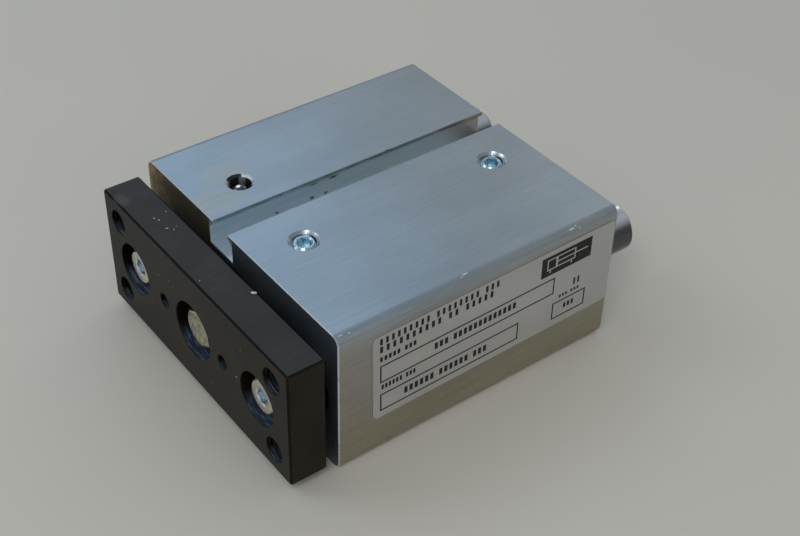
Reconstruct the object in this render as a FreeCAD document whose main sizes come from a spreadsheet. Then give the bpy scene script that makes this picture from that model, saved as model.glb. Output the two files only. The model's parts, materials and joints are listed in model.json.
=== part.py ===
# Compact guided pneumatic cylinder, 16 mm bore and 25 mm stroke, with two guide rods and a
# front tool plate. Millimetres. +X is the direction in which the rod extends, +Z is up and
# +Y is the labelled side. The origin is the centre of the block's base face, and the rod is
# fully retracted.
import FreeCAD, Part
import Sketcher
import os
import re

# Driving sizes, each with its name, value and meaning. A value that starts with = is worked
# out from the others. Depths are counted rearwards from the block's front face.
SIZES = [
    # Fits
    ("running_gap", "0.05", "radial clearance of a sliding fit"),
    ("static_gap", "0.03", "radial clearance of a seated or pressed piece"),
    ("thread_gap", "0.05", "radial clearance of a screw in its thread"),
    ("end_gap", "0.1", "piston to bumper at either end of the stroke"),
    ("cut_over", "1", "length by which a cut starts outside the face"),
    # Cylinder
    ("bore_dia", "16", "cylinder bore"),
    ("stroke", "25", "travel of the rod"),
    ("rod_dia", "8", "piston rod"),
    ("rod_relief", "0.3", "radial room round the rod where nothing guides it"),
    ("seat_step", "0.75", "seat of gland and cap, deeper than the bore by this radius"),
    ("seat_dia", "=bore_dia + 2 * seat_step", "seat of gland and cap"),
    ("mouth_chamfer", "0.4", "chamfer at each bore mouth"),
    ("ring_inset", "1.2", "face to retaining ring groove"),
    ("ring_thick", "1", "retaining ring"),
    ("ring_play", "0.1", "axial room of a retaining ring in its groove"),
    ("ring_groove", "=ring_thick + ring_play", "width of the ring groove"),
    ("ring_bite", "0.45", "depth of the ring groove"),
    ("ring_band", "1.3", "radial width of the large rings"),
    ("ring_taper", "0.3", "a large ring thins towards its gap by this offset"),
    ("ring_lug_dia", "3", "eye of a large ring"),
    ("ring_eye_dia", "1.2", "plier hole in an eye"),
    ("ring_opening", "1.8", "gap between the ends of a ring"),
    ("nose_length", "4", "gland nose that stands in the bore"),
    ("gland_lip", "1", "front lip of the gland"),
    ("rod_seal_length", "2.8", "rod seal"),
    ("rod_seal_wall", "2", "radial height of the rod seal"),
    ("gland_web", "0.9", "wall between seal and bush"),
    ("rod_bush_length", "6", "rod bush"),
    ("rod_bush_wall", "1", "wall of the rod bush"),
    ("nose_wall", "1.5", "wall of the gland's nose round the rod bush"),
    ("nose_dia", "=rod_dia + 2 * (rod_bush_wall + nose_wall)", "nose of gland and cap"),
    ("oring_section", "1.3", "squeezed height of an O-ring"),
    ("oring_groove", "1.9", "width of an O-ring groove"),
    ("oring_setback", "1.8", "wall in front of an O-ring groove"),
    ("bumper_thick", "1.5", "end cushion disc"),
    ("bumper_hole", "9", "hole of the front cushion, wider than the rod"),
    ("cap_nose_length", "4.9", "nose of the rear cap"),
    ("cap_flange", "5", "disc of the rear cap"),
    # Piston
    ("piston_gap", "0.15", "piston to bore"),
    ("piston_land", "0.75", "land between piston grooves"),
    ("magnet_width", "2.6", "sensing magnet"),
    ("magnet_height", "2.2", "radial height of the magnet"),
    ("piston_seal_width", "2.4", "piston seal"),
    ("piston_seal_height", "2.2", "radial height of the piston seal"),
    ("wear_width", "1.5", "wear ring"),
    ("wear_height", "1.1", "radial height of the wear ring"),
    ("wear_slit", "0.5", "gap where the wear ring is slit"),
    ("stud_dia", "5", "threaded rear end of the rod"),
    ("nut_across", "8", "piston nut across flats"),
    ("nut_height", "2.7", "piston nut"),
    ("nut_room", "0.3", "room behind and round the nut"),
    ("piston_web", "0.6", "wall between the seal groove and the nut's well"),
    ("rear_land", "=nut_height + nut_room + piston_web - piston_land - wear_width", "land behind the wear ring"),
    ("grooved_length", "=3 * piston_land + magnet_width + piston_seal_width + wear_width", "piston up to that land"),
    ("piston_length", "=grooved_length + rear_land", "piston"),
    # Depths along the cylinder, from the front face
    ("gland_front", "=ring_inset + ring_groove", "front of the gland"),
    ("seal_start", "=gland_front + gland_lip", "front of the rod seal"),
    ("seal_end", "=seal_start + rod_seal_length", "rear of the rod seal"),
    ("bush_start", "=seal_end + gland_web", "front of the rod bush"),
    ("gland_end", "=bush_start + rod_bush_length", "rear of the gland"),
    ("front_seat", "=gland_end - nose_length", "step between seat and bore"),
    ("front_stop", "=gland_end + bumper_thick", "rear of the front cushion"),
    ("piston_front", "=front_stop + end_gap + stroke", "front of the piston, rod retracted"),
    ("piston_rear", "=piston_front + piston_length", "rear of the piston, rod retracted"),
    ("rear_stop", "=piston_rear + end_gap", "front of the rear cushion"),
    ("cap_nose", "=rear_stop + bumper_thick", "front of the rear cap"),
    ("rear_seat", "=cap_nose + cap_nose_length", "step between bore and rear seat"),
    ("cap_end", "=rear_seat + cap_flange", "rear of the rear cap"),
    ("body_length", "=cap_end + ring_groove + ring_inset", "block along X"),
    ("front_x", "=body_length / 2", "place of the front face"),
    # Guides
    ("guide_dia", "10", "guide rod"),
    ("guide_bush_wall", "1", "wall of a guide bush"),
    ("guide_bush_length", "14.5", "guide bush"),
    ("guide_bore", "=guide_dia + 2 * guide_bush_wall", "guide bore"),
    ("guide_overhang", "12.5", "guide rod behind the block"),
    ("guide_end_chamfer", "1", "rear end of a guide rod"),
    ("rear_bush_inset", "0.5", "rear face to the rear guide bush"),
    ("wiper_wall", "2", "radial height of a felt wiper"),
    ("wiper_thick", "3", "felt wiper"),
    ("wiper_seat", "=guide_dia + 2 * wiper_wall", "seat of a felt wiper"),
    ("wiper_ring_inset", "1", "face to the wiper ring groove"),
    ("wiper_ring_bite", "0.3", "depth of the wiper ring groove"),
    ("wiper_ring_band", "1.2", "radial width of a wiper ring"),
    ("wiper_start", "=wiper_ring_inset + ring_groove", "front of a felt wiper"),
    ("wiper_end", "=wiper_start + wiper_thick", "rear of a felt wiper"),
    ("bore_web", "7.6", "wall between bore and guide bore"),
    ("guide_offset", "=bore_dia / 2 + bore_web + guide_bore / 2", "guide rod from the middle"),
    # Block
    ("side_wall", "4.4", "wall outside a guide bore"),
    ("floor_wall", "7", "wall under the bore"),
    ("roof_wall", "2.5", "wall between bore and sensor slot"),
    ("slot_depth", "5.5", "sensor slot"),
    ("slot_neck", "5.3", "mouth of the sensor slot"),
    ("slot_lip", "0.8", "straight part of the slot's mouth"),
    ("slot_width", "7.7", "sensor slot inside"),
    ("slot_offset", "5.1", "sensor slot from the middle"),
    ("axis_height", "=floor_wall + bore_dia / 2", "rod axis over the base"),
    ("body_height", "=axis_height + bore_dia / 2 + roof_wall + slot_depth", "block along Z"),
    ("body_width", "=2 * (guide_offset + guide_bore / 2 + side_wall)", "block along Y"),
    ("body_corner", "1.8", "rounding of the long edges"),
    ("body_chamfer", "0.2", "chamfer round both end faces"),
    # Air ports
    ("port_dia", "5", "port thread"),
    ("port_chamfer", "0.5", "chamfer of a port"),
    ("port_depth", "5.5", "threaded depth of a port"),
    ("passage_dia", "2.5", "air passage"),
    ("top_port_offset", "6.6", "top ports from the middle"),
    ("top_passage_low", "2", "end of a top passage over the rod axis"),
    ("front_port_setback", "1.35", "front port behind the seat step"),
    ("rear_port_setback", "2.3", "rear port in front of the rear step"),
    ("front_port", "=front_seat + front_port_setback", "depth of the front ports"),
    ("rear_port", "=rear_seat - rear_port_setback", "depth of the rear ports"),
    ("side_port_drop", "5.4", "side ports under the top face"),
    ("side_port_height", "=body_height - side_port_drop", "side ports over the base"),
    ("passage_drop", "1.6", "where a side passage meets the bore, under its crown"),
    ("passage_reach", "3", "end of a side passage from the middle"),
    ("plug_length", "4", "port plug"),
    ("plug_inset", "0.4", "port plug under the top face"),
    ("plug_chamfer", "0.65", "chamfer of a port plug"),
    ("plug_socket", "2.5", "hexagon of a port plug"),
    ("plug_socket_depth", "2", "hexagon of a port plug, depth"),
    ("plug_socket_mouth", "3.3", "bevelled mouth of that hexagon"),
    # Blanked cross drilling
    ("ball_dia", "4.5", "steel ball"),
    ("ball_inset", "0.8", "ball under the top face"),
    ("ball_seat_dia", "3", "drilling under the ball"),
    ("ball_offset", "15.1", "blanked drilling from the middle"),
    ("ball_chamfer", "0.45", "chamfer over the ball"),
    # Fixing holes in the base
    ("base_hole_dia", "5", "base fixing thread"),
    ("base_hole_depth", "9", "base fixing thread, depth"),
    ("base_hole_x", "20", "base fixing threads from the middle along X"),
    ("base_hole_y", "12", "base fixing threads from the middle along Y"),
    ("base_dowel_dia", "3", "base dowel hole"),
    ("base_dowel_depth", "4", "base dowel hole, depth"),
    ("hole_chamfer", "0.15", "chamfer of a tapped or dowel hole"),
    # Tool plate
    ("plate_gap", "2.3", "block to plate, rod retracted"),
    ("plate_thick", "7.6", "tool plate"),
    ("plate_height", "26", "tool plate along Z"),
    ("plate_margin", "10.15", "guide rod axis to the end of the plate"),
    ("plate_chamfer", "0.35", "edges of the plate"),
    ("plate_width", "=2 * (guide_offset + plate_margin)", "tool plate along Y"),
    ("plate_hole_dia", "5", "tapped hole in the plate"),
    ("plate_hole_out", "5", "tapped holes outside the guide rods"),
    ("plate_hole_y", "=guide_offset + plate_hole_out", "tapped holes from the middle"),
    ("plate_hole_z", "8.2", "tapped holes from the rod axis"),
    ("plate_dowel_dia", "3", "dowel hole in the plate"),
    ("plate_dowel_depth", "5", "dowel hole in the plate, depth"),
    ("plate_dowel_y", "10.3", "dowel holes from the middle"),
    ("centre_recess_dia", "11.8", "recess of the rod bolt"),
    ("centre_recess", "3.8", "recess of the rod bolt, depth"),
    ("rod_recess", "1", "seat of the rod in the back of the plate"),
    ("side_recess_dia", "10.6", "recess of a guide rod screw"),
    ("side_recess", "5", "recess of a guide rod screw, depth"),
    ("recess_chamfer", "0.12", "chamfer of a recess"),
    # Screws
    ("screw_dia", "4", "thread of the three plate screws"),
    ("screw_hole", "4.4", "clearance hole in the plate"),
    ("screw_engage", "10", "thread inside a rod"),
    ("screw_tail", "2", "tapped depth beyond the screw"),
    ("cap_head_dia", "7", "cap screw head"),
    ("cap_head", "4", "cap screw head, height"),
    ("cap_socket", "3", "cap screw hexagon"),
    ("cap_socket_depth", "2", "cap screw hexagon, depth"),
    ("cap_socket_mouth", "3.9", "bevelled mouth of the cap screw hexagon"),
    ("cap_turn", "14", "turn of the cap screw hexagons, degrees"),
    ("head_chamfer", "0.35", "chamfer of a head"),
    ("hex_across", "7", "rod bolt across flats"),
    ("hex_head", "2.8", "rod bolt head, height"),
    ("hex_turn", "28", "turn of the rod bolt, degrees"),
    # Label
    ("label_length", "56", "type label along X"),
    ("label_height", "19.2", "type label along Z"),
    ("label_thick", "0.15", "type label"),
    ("label_corner", "1.2", "rounding of the label"),
    ("label_depth", "35.1", "middle of the label behind the front face"),
    ("label_rise", "3.4", "middle of the label over the rod axis"),
    ("label_turn", "0.9", "the label sits a little askew, degrees"),
]
NAMES = [row[0] for row in SIZES]
MAX_NODES = 60

doc = FreeCAD.newDocument("guided_cylinder")
sheet = doc.addObject("Spreadsheet::Sheet", "Sizes")
for number, (alias, value, meaning) in enumerate(SIZES, start=1):
    sheet.set("A%d" % number, value)
    sheet.setAlias("A%d" % number, alias)
    sheet.set("B%d" % number, meaning)
doc.recompute()

parts = {}


def link(text):
    """Writes a formula of sheet names as an expression that any object can hold."""
    def one(match):
        word = match.group(0)
        return "Sizes." + word if word in NAMES else word
    return re.sub(r"[A-Za-z_]\w*", one, text)


def value_of(text):
    """The present number behind a formula of sheet names."""
    result = sheet.evalExpression(link(text))
    return float(getattr(result, "Value", result))


def origin_part(body, role):
    for feature in body.Origin.OriginFeatures:
        if feature.Role == role:
            return feature
    raise ValueError("no origin feature " + role)


def new_body(name, x="0", y="0", z="0"):
    """A named piece whose own origin lies at the given formulas."""
    body = doc.addObject("PartDesign::Body", name)
    body.Label = name
    for axis, text in (("x", x), ("y", y), ("z", z)):
        body.setExpression("Placement.Base." + axis, link(text))
    parts[name] = body
    return body


def new_sketch(body, name, role, offset=("0", "0", "0"), turn=None):
    """An empty sketch on one of the body's origin planes, moved by the given formulas."""
    sketch = body.newObject("Sketcher::SketchObject", body.Name + "_" + name)
    sketch.AttachmentSupport = [(origin_part(body, role), "")]
    sketch.MapMode = "FlatFace"
    if turn is not None:
        sketch.AttachmentOffset = FreeCAD.Placement(
            FreeCAD.Vector(0, 0, 0), FreeCAD.Rotation(FreeCAD.Vector(0, 0, 1), 1))
        sketch.setExpression("AttachmentOffset.Rotation.Angle", link(turn))
    for axis, text in zip("xyz", offset):
        sketch.setExpression("AttachmentOffset.Base." + axis, link(text))
    return sketch


def pin_point(sketch, geometry, place, point):
    """Ties one point of a sketch to two formulas."""
    for kind, text in zip(("DistanceX", "DistanceY"), point):
        rule = Sketcher.Constraint(kind, -1, 1, geometry, place, value_of(text))
        index = sketch.addConstraint(rule)
        sketch.setExpression("Constraints[%d]" % index, link(text))


def outline(sketch, points):
    """A closed outline of straight lines through points given as formulas."""
    here = [FreeCAD.Vector(value_of(a), value_of(b), 0) for a, b in points]
    count = len(points)
    first = sketch.GeometryCount
    for i in range(count):
        sketch.addGeometry(Part.LineSegment(here[i], here[(i + 1) % count]), False)
    for i in range(count):
        following = first + (i + 1) % count
        sketch.addConstraint(Sketcher.Constraint("Coincident", first + i, 2, following, 1))
    for i in range(count):
        pin_point(sketch, first + i, 1, points[i])


def circles(sketch, rows):
    """Circles, each with two formulas for its centre and one for its diameter."""
    for across, up, size in rows:
        centre = FreeCAD.Vector(value_of(across), value_of(up), 0)
        ring = Part.Circle(centre, FreeCAD.Vector(0, 0, 1), value_of(size) / 2)
        index = sketch.addGeometry(ring, False)
        pin_point(sketch, index, 3, (across, up))
        rule = sketch.addConstraint(Sketcher.Constraint("Diameter", index, value_of(size)))
        sketch.setExpression("Constraints[%d]" % rule, link(size))


def hexagon(sketch, across, turn="0"):
    """A hexagon about the sketch's origin, with a corner at the given turn."""
    corners = []
    for i in range(6):
        angle = "(%s + %d) * 1 deg" % (turn, 60 * i)
        corners.append(("%s / sqrt(3) * cos(%s)" % (across, angle),
                        "%s / sqrt(3) * sin(%s)" % (across, angle)))
    outline(sketch, corners)


def volume_of(body):
    doc.recompute()
    return body.Shape.Volume


def require_cut(body, before, name):
    """A cut that points away from the solid leaves the volume as it was."""
    if not volume_of(body) < before - 1e-6:
        raise ValueError("%s cut nothing from %s" % (name, body.Name))


def revolve(body, name, points, axis="H_Axis", role="XZ_Plane", offset=("0", "0", "0")):
    """A turned piece from its half section."""
    sketch = new_sketch(body, name + "_section", role, offset)
    outline(sketch, points)
    feature = body.newObject("PartDesign::Revolution", body.Name + "_" + name)
    feature.Profile = sketch
    feature.ReferenceAxis = (sketch, [axis])
    feature.Angle = 360
    doc.recompute()
    return feature


def bore(body, name, points, axis="H_Axis", role="XZ_Plane", offset=("0", "0", "0"), turn=None):
    """A turned cut from its half section."""
    before = volume_of(body)
    sketch = new_sketch(body, name + "_section", role, offset, turn)
    outline(sketch, points)
    feature = body.newObject("PartDesign::Groove", body.Name + "_" + name)
    feature.Profile = sketch
    feature.ReferenceAxis = (sketch, [axis])
    feature.Angle = 360
    require_cut(body, before, name)
    return feature


def pad(body, name, sketch, length, reverse=False, both=False):
    feature = body.newObject("PartDesign::Pad", body.Name + "_" + name)
    feature.Profile = sketch
    feature.SideType = "Symmetric" if both else "One side"
    feature.Reversed = reverse
    feature.setExpression("Length", link(length))
    doc.recompute()
    return feature


def pocket(body, name, sketch, length, reverse=False, both=False):
    before = body.Shape.Volume
    feature = body.newObject("PartDesign::Pocket", body.Name + "_" + name)
    feature.Profile = sketch
    feature.SideType = "Symmetric" if both else "One side"
    feature.Reversed = reverse
    feature.setExpression("Length", link(length))
    require_cut(body, before, name)
    return feature


def mirror_across_middle(body, name, features):
    """The same cuts on the other side of the body's own XZ plane."""
    before = volume_of(body)
    feature = body.newObject("PartDesign::Mirrored", body.Name + "_" + name)
    feature.Originals = features
    feature.MirrorPlane = (origin_part(body, "XZ_Plane"), [""])
    body.Tip = feature
    require_cut(body, before, name)


def edges_where(body, test):
    """Names of the body's edges whose ends and middle all pass a test."""
    found = []
    for number, edge in enumerate(body.Tip.Shape.Edges, start=1):
        low, high = edge.ParameterRange
        spots = [edge.valueAt(low), edge.valueAt((low + high) / 2), edge.valueAt(high)]
        if all(test(spot) for spot in spots):
            found.append("Edge%d" % number)
    if not found:
        raise ValueError("no such edges on " + body.Name)
    return found


def near(a, b):
    return abs(a - b) < 1e-4


def soften(body, kind, name, edges, size):
    """A fillet or chamfer of the named edges."""
    solid = body.Tip
    feature = body.newObject("PartDesign::" + kind, body.Name + "_" + name)
    feature.Base = (solid, edges)
    feature.setExpression("Radius" if kind == "Fillet" else "Size", link(size))
    doc.recompute()
    return feature


def hole_set(body, name, sketch, size, depth, reverse=False):
    """Flat-bottomed or through holes with a chamfered mouth, one at each circle."""
    before = volume_of(body)
    feature = body.newObject("PartDesign::Hole", body.Name + "_" + name)
    feature.Profile = sketch
    doc.recompute()
    feature.Threaded = False
    feature.DepthType = "Dimension"
    feature.DrillPoint = "Flat"
    feature.HoleCutType = "Countersink"
    feature.HoleCutCustomValues = True
    feature.HoleCutCountersinkAngle = 90
    feature.Reversed = reverse
    feature.setExpression("Diameter", link(size))
    feature.setExpression("Depth", link(depth))
    feature.setExpression("HoleCutDiameter", link(size + " + 2 * hole_chamfer"))
    require_cut(body, before, name)
    return feature


def tube(name, start, length, inner, outer, chamfer="0.2", y="0"):
    """A ring on the cylinder's or a guide's axis; its depths are formulas, as are its radii."""
    body = new_body(name, "front_x", y, "axis_height")
    end = "(%s) + (%s)" % (start, length)
    revolve(body, "ring", [
        ("-(%s)" % start, inner),
        ("-(%s)" % start, "%s - %s" % (outer, chamfer)),
        ("-(%s) - %s" % (start, chamfer), outer),
        ("-(%s) + %s" % (end, chamfer), outer),
        ("-(%s)" % end, "%s - %s" % (outer, chamfer)),
        ("-(%s)" % end, inner)])
    return body


def make_block():
    """The extruded block with its sensor slot, bores, ports, passages and fixing holes."""
    body = new_body("body_block")
    section = new_sketch(body, "profile", "YZ_Plane")
    half = "body_width / 2"
    outline(section, [("-" + half, "0"), (half, "0"), (half, "body_height"), ("-" + half, "body_height")])
    pad(body, "extrusion", section, "body_length", both=True)

    side = value_of(half)
    long_edges = edges_where(body, lambda p: near(abs(p.y), side) and abs(p.x) < side * 2
                             and (near(p.z, 0) or near(p.z, value_of("body_height"))))
    along = [name for name in long_edges
             if near(body.Tip.Shape.getElement(name).Length, value_of("body_length"))]
    soften(body, "Fillet", "long_edges", along, "body_corner")
    end = value_of("front_x")
    rim = edges_where(body, lambda p: near(abs(p.x), end))
    soften(body, "Chamfer", "end_edges", rim, "body_chamfer")

    slot = new_sketch(body, "slot_profile", "YZ_Plane", ("-slot_offset", "body_height", "0"))
    shoulder = "(slot_width - slot_neck) / 2"
    outline(slot, [
        ("slot_neck / 2", "cut_over"),
        ("slot_neck / 2", "-slot_lip"),
        ("slot_width / 2", "-slot_lip - " + shoulder),
        ("slot_width / 2", "-slot_depth"),
        ("-slot_width / 2", "-slot_depth"),
        ("-slot_width / 2", "-slot_lip - " + shoulder),
        ("-slot_neck / 2", "-slot_lip"),
        ("-slot_neck / 2", "cut_over")])
    pocket(body, "sensor_slot", slot, "body_length + 2 * cut_over", both=True)

    seat = "seat_dia / 2"
    groove = "seat_dia / 2 + ring_bite"
    bore(body, "cylinder_bore", [
        ("cut_over", "0"),
        ("cut_over", seat + " + mouth_chamfer"),
        ("0", seat + " + mouth_chamfer"),
        ("-mouth_chamfer", seat),
        ("-ring_inset", seat),
        ("-ring_inset", groove),
        ("-gland_front", groove),
        ("-gland_front", seat),
        ("-front_seat", seat),
        ("-front_seat", "bore_dia / 2"),
        ("-rear_seat", "bore_dia / 2"),
        ("-rear_seat", seat),
        ("-cap_end", seat),
        ("-cap_end", groove),
        ("-cap_end - ring_groove", groove),
        ("-cap_end - ring_groove", seat),
        ("-body_length + mouth_chamfer", seat),
        ("-body_length", seat + " + mouth_chamfer"),
        ("-body_length - cut_over", seat + " + mouth_chamfer"),
        ("-body_length - cut_over", "0")],
        offset=("front_x", "axis_height", "0"))

    felt = "wiper_seat / 2"
    snap = "wiper_seat / 2 + wiper_ring_bite"
    tunnel = "guide_bore / 2"
    guide = bore(body, "guide_bore", [
        ("cut_over", "0"),
        ("cut_over", felt + " + mouth_chamfer"),
        ("0", felt + " + mouth_chamfer"),
        ("-mouth_chamfer", felt),
        ("-wiper_ring_inset", felt),
        ("-wiper_ring_inset", snap),
        ("-wiper_start", snap),
        ("-wiper_start", felt),
        ("-wiper_end", felt),
        ("-wiper_end", tunnel),
        ("-body_length + mouth_chamfer", tunnel),
        ("-body_length", tunnel + " + mouth_chamfer"),
        ("-body_length - cut_over", tunnel + " + mouth_chamfer"),
        ("-body_length - cut_over", "0")],
        offset=("front_x", "axis_height", "-guide_offset"))
    mirror_across_middle(body, "guide_bores", [guide])

    for name, depth in (("front", "front_port"), ("rear", "rear_port")):
        bore(body, name + "_top_port", [
            ("0", "cut_over"),
            ("port_dia / 2 + port_chamfer", "cut_over"),
            ("port_dia / 2 + port_chamfer", "0"),
            ("port_dia / 2", "-port_chamfer"),
            ("port_dia / 2", "-port_depth"),
            ("passage_dia / 2", "-port_depth"),
            ("passage_dia / 2", "axis_height + top_passage_low - body_height"),
            ("0", "axis_height + top_passage_low - body_height")],
            axis="V_Axis", offset=("front_x - " + depth, "body_height", "-top_port_offset"))
        bore(body, name + "_side_port", [
            ("0", "-body_width / 2 - cut_over"),
            ("port_dia / 2 + port_chamfer", "-body_width / 2 - cut_over"),
            ("port_dia / 2 + port_chamfer", "-body_width / 2"),
            ("port_dia / 2", "-body_width / 2 + port_chamfer"),
            ("port_dia / 2", "-body_width / 2 + port_depth"),
            ("0", "-body_width / 2 + port_depth")],
            axis="V_Axis", role="XY_Plane", offset=("front_x - " + depth, "0", "side_port_height"))
        run = "(body_width / 2 - port_depth - passage_reach)"
        fall = "(side_port_height - axis_height - bore_dia / 2 + passage_drop)"
        bore(body, name + "_side_passage", [
            ("-0.2", "0"),
            ("-0.2", "passage_dia / 2"),
            ("sqrt(%s^2 + %s^2)" % (run, fall), "passage_dia / 2"),
            ("sqrt(%s^2 + %s^2)" % (run, fall), "0")],
            role="YZ_Plane", turn="-atan(%s / %s)" % (fall, run),
            offset=("-body_width / 2 + port_depth", "side_port_height", "front_x - " + depth))

    seat_lift = "sqrt((ball_dia / 2)^2 - (ball_seat_dia / 2)^2)"
    step = "-(ball_inset + ball_dia / 2 + %s)" % seat_lift
    into_passage = "-side_port_drop - (%s) * (%s) / (%s)" % (
        "body_width / 2 - port_depth - ball_offset", fall, run)
    bore(body, "ball_drilling", [
        ("0", "cut_over"),
        ("ball_dia / 2 + static_gap + ball_chamfer", "cut_over"),
        ("ball_dia / 2 + static_gap + ball_chamfer", "0"),
        ("ball_dia / 2 + static_gap", "-ball_chamfer"),
        ("ball_dia / 2 + static_gap", step),
        ("ball_seat_dia / 2", step),
        ("ball_seat_dia / 2", into_passage),
        ("0", into_passage)],
        axis="V_Axis", offset=("front_x - front_port", "body_height", "ball_offset"))

    fixing = new_sketch(body, "base_holes_plan", "XY_Plane")
    circles(fixing, [("%sbase_hole_x" % a, "%sbase_hole_y" % b, "base_hole_dia")
                     for a in ("", "-") for b in ("", "-")])
    hole_set(body, "base_holes", fixing, "base_hole_dia", "base_hole_depth", reverse=True)
    dowels = new_sketch(body, "base_dowels_plan", "XY_Plane")
    circles(dowels, [("%sbase_hole_x" % a, "0", "base_dowel_dia") for a in ("", "-")])
    hole_set(body, "base_dowels", dowels, "base_dowel_dia", "base_dowel_depth", reverse=True)


def make_gland():
    """The turned gland that closes the front of the bore, with its seals and bush."""
    body = new_body("rod_gland", "front_x", "0", "axis_height")
    outer = "seat_dia / 2 - static_gap"
    floor = "seat_dia / 2 - oring_section"
    lip = "rod_dia / 2 + rod_relief"
    pocket_radius = "rod_dia / 2 + rod_seal_wall"
    bush_radius = "rod_dia / 2 + rod_bush_wall"
    start = "-gland_front - oring_setback"
    revolve(body, "turning", [
        ("-gland_front", lip),
        ("-gland_front", outer + " - mouth_chamfer"),
        ("-gland_front - mouth_chamfer", outer),
        (start, outer),
        (start, floor),
        (start + " - oring_groove", floor),
        (start + " - oring_groove", outer),
        ("-front_seat", outer),
        ("-front_seat", "nose_dia / 2"),
        ("-gland_end", "nose_dia / 2"),
        ("-gland_end", bush_radius),
        ("-bush_start", bush_radius),
        ("-bush_start", lip),
        ("-seal_end", lip),
        ("-seal_end", pocket_radius),
        ("-seal_start", pocket_radius),
        ("-seal_start", lip)])

    seal = new_body("rod_seal", "front_x", "0", "axis_height")
    inner = "rod_dia / 2 + running_gap"
    rim = pocket_radius + " - static_gap"
    middle = "(%s + %s) / 2" % (inner, rim)
    revolve(seal, "section", [
        ("-seal_start", inner),
        ("-seal_start", rim),
        ("-seal_end", rim),
        ("-seal_end", rim + " - rod_seal_wall / 5"),
        ("-seal_end + rod_seal_length / 2", middle),
        ("-seal_end", inner + " + rod_seal_wall / 5"),
        ("-seal_end", inner)])
    tube("rod_bush", "bush_start", "rod_bush_length", inner, bush_radius + " - static_gap")
    tube("front_bumper", "gland_end", "bumper_thick", "bumper_hole / 2", "nose_dia / 2")
    make_oring("gland_oring", "gland_front + oring_setback + oring_groove / 2")


def make_oring(name, depth):
    """An O-ring, squeezed to the height of its groove."""
    body = new_body(name, "front_x", "0", "axis_height")
    sketch = new_sketch(body, "section", "XZ_Plane")
    circles(sketch, [("-(%s)" % depth, "seat_dia / 2 - oring_section / 2",
                      "oring_section - 2 * static_gap")])
    feature = body.newObject("PartDesign::Revolution", name + "_torus")
    feature.Profile = sketch
    feature.ReferenceAxis = (sketch, ["H_Axis"])
    feature.Angle = 360
    doc.recompute()


def make_retaining_ring(name, depth, outer, band, taper="0", y="0", eyes=True):
    """A flat sprung ring with a gap at its top, and an eye at each end on the large ones."""
    body = new_body(name, "front_x", y, "axis_height")
    place = ("0", "0", "-(%s)" % depth)
    flat = new_sketch(body, "band", "YZ_Plane", place)
    circles(flat, [("0", "0", "2 * (%s)" % outer), ("0", taper, "2 * (%s - %s)" % (outer, band))])
    pad(body, "ring", flat, "ring_thick", reverse=True)
    low = "%s - %s - %s" % (outer, band, "cut_over")
    if eyes:
        across = "ring_opening / 2 + ring_lug_dia / 2 - ring_play"
        up = "%s - %s / 2 - ring_lug_dia / 2" % (outer, band)
        low = up + " - ring_lug_dia"
        for feature_name, kind, size in (("eyes", pad, "ring_lug_dia"), ("eye_holes", pocket, "ring_eye_dia")):
            dots = new_sketch(body, feature_name + "_plan", "YZ_Plane", place)
            circles(dots, [("%s(%s)" % (side, across), up, size) for side in ("", "-")])
            kind(body, feature_name, dots, "ring_thick", reverse=kind is pad)
    gap = new_sketch(body, "gap_plan", "YZ_Plane", place)
    outline(gap, [("-ring_opening / 2", low), ("ring_opening / 2", low),
                  ("ring_opening / 2", outer + " + cut_over"), ("-ring_opening / 2", outer + " + cut_over")])
    pocket(body, "gap", gap, "ring_thick")


def make_rear_cap():
    """The plug that closes the rear of the bore, with its O-ring and cushion."""
    body = new_body("rear_cap", "front_x", "0", "axis_height")
    outer = "seat_dia / 2 - static_gap"
    floor = "seat_dia / 2 - oring_section"
    start = "-rear_seat - oring_setback + mouth_chamfer"
    revolve(body, "turning", [
        ("-cap_nose", "0"),
        ("-cap_nose", "nose_dia / 2"),
        ("-rear_seat", "nose_dia / 2"),
        ("-rear_seat", outer),
        (start, outer),
        (start, floor),
        (start + " - oring_groove", floor),
        (start + " - oring_groove", outer),
        ("-cap_end + mouth_chamfer", outer),
        ("-cap_end", outer + " - mouth_chamfer"),
        ("-cap_end", "0")])
    make_oring("rear_cap_oring", "rear_seat + oring_setback - mouth_chamfer + oring_groove / 2")
    tube("rear_bumper", "rear_stop", "bumper_thick", "bumper_hole / 2", "nose_dia / 2")


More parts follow.
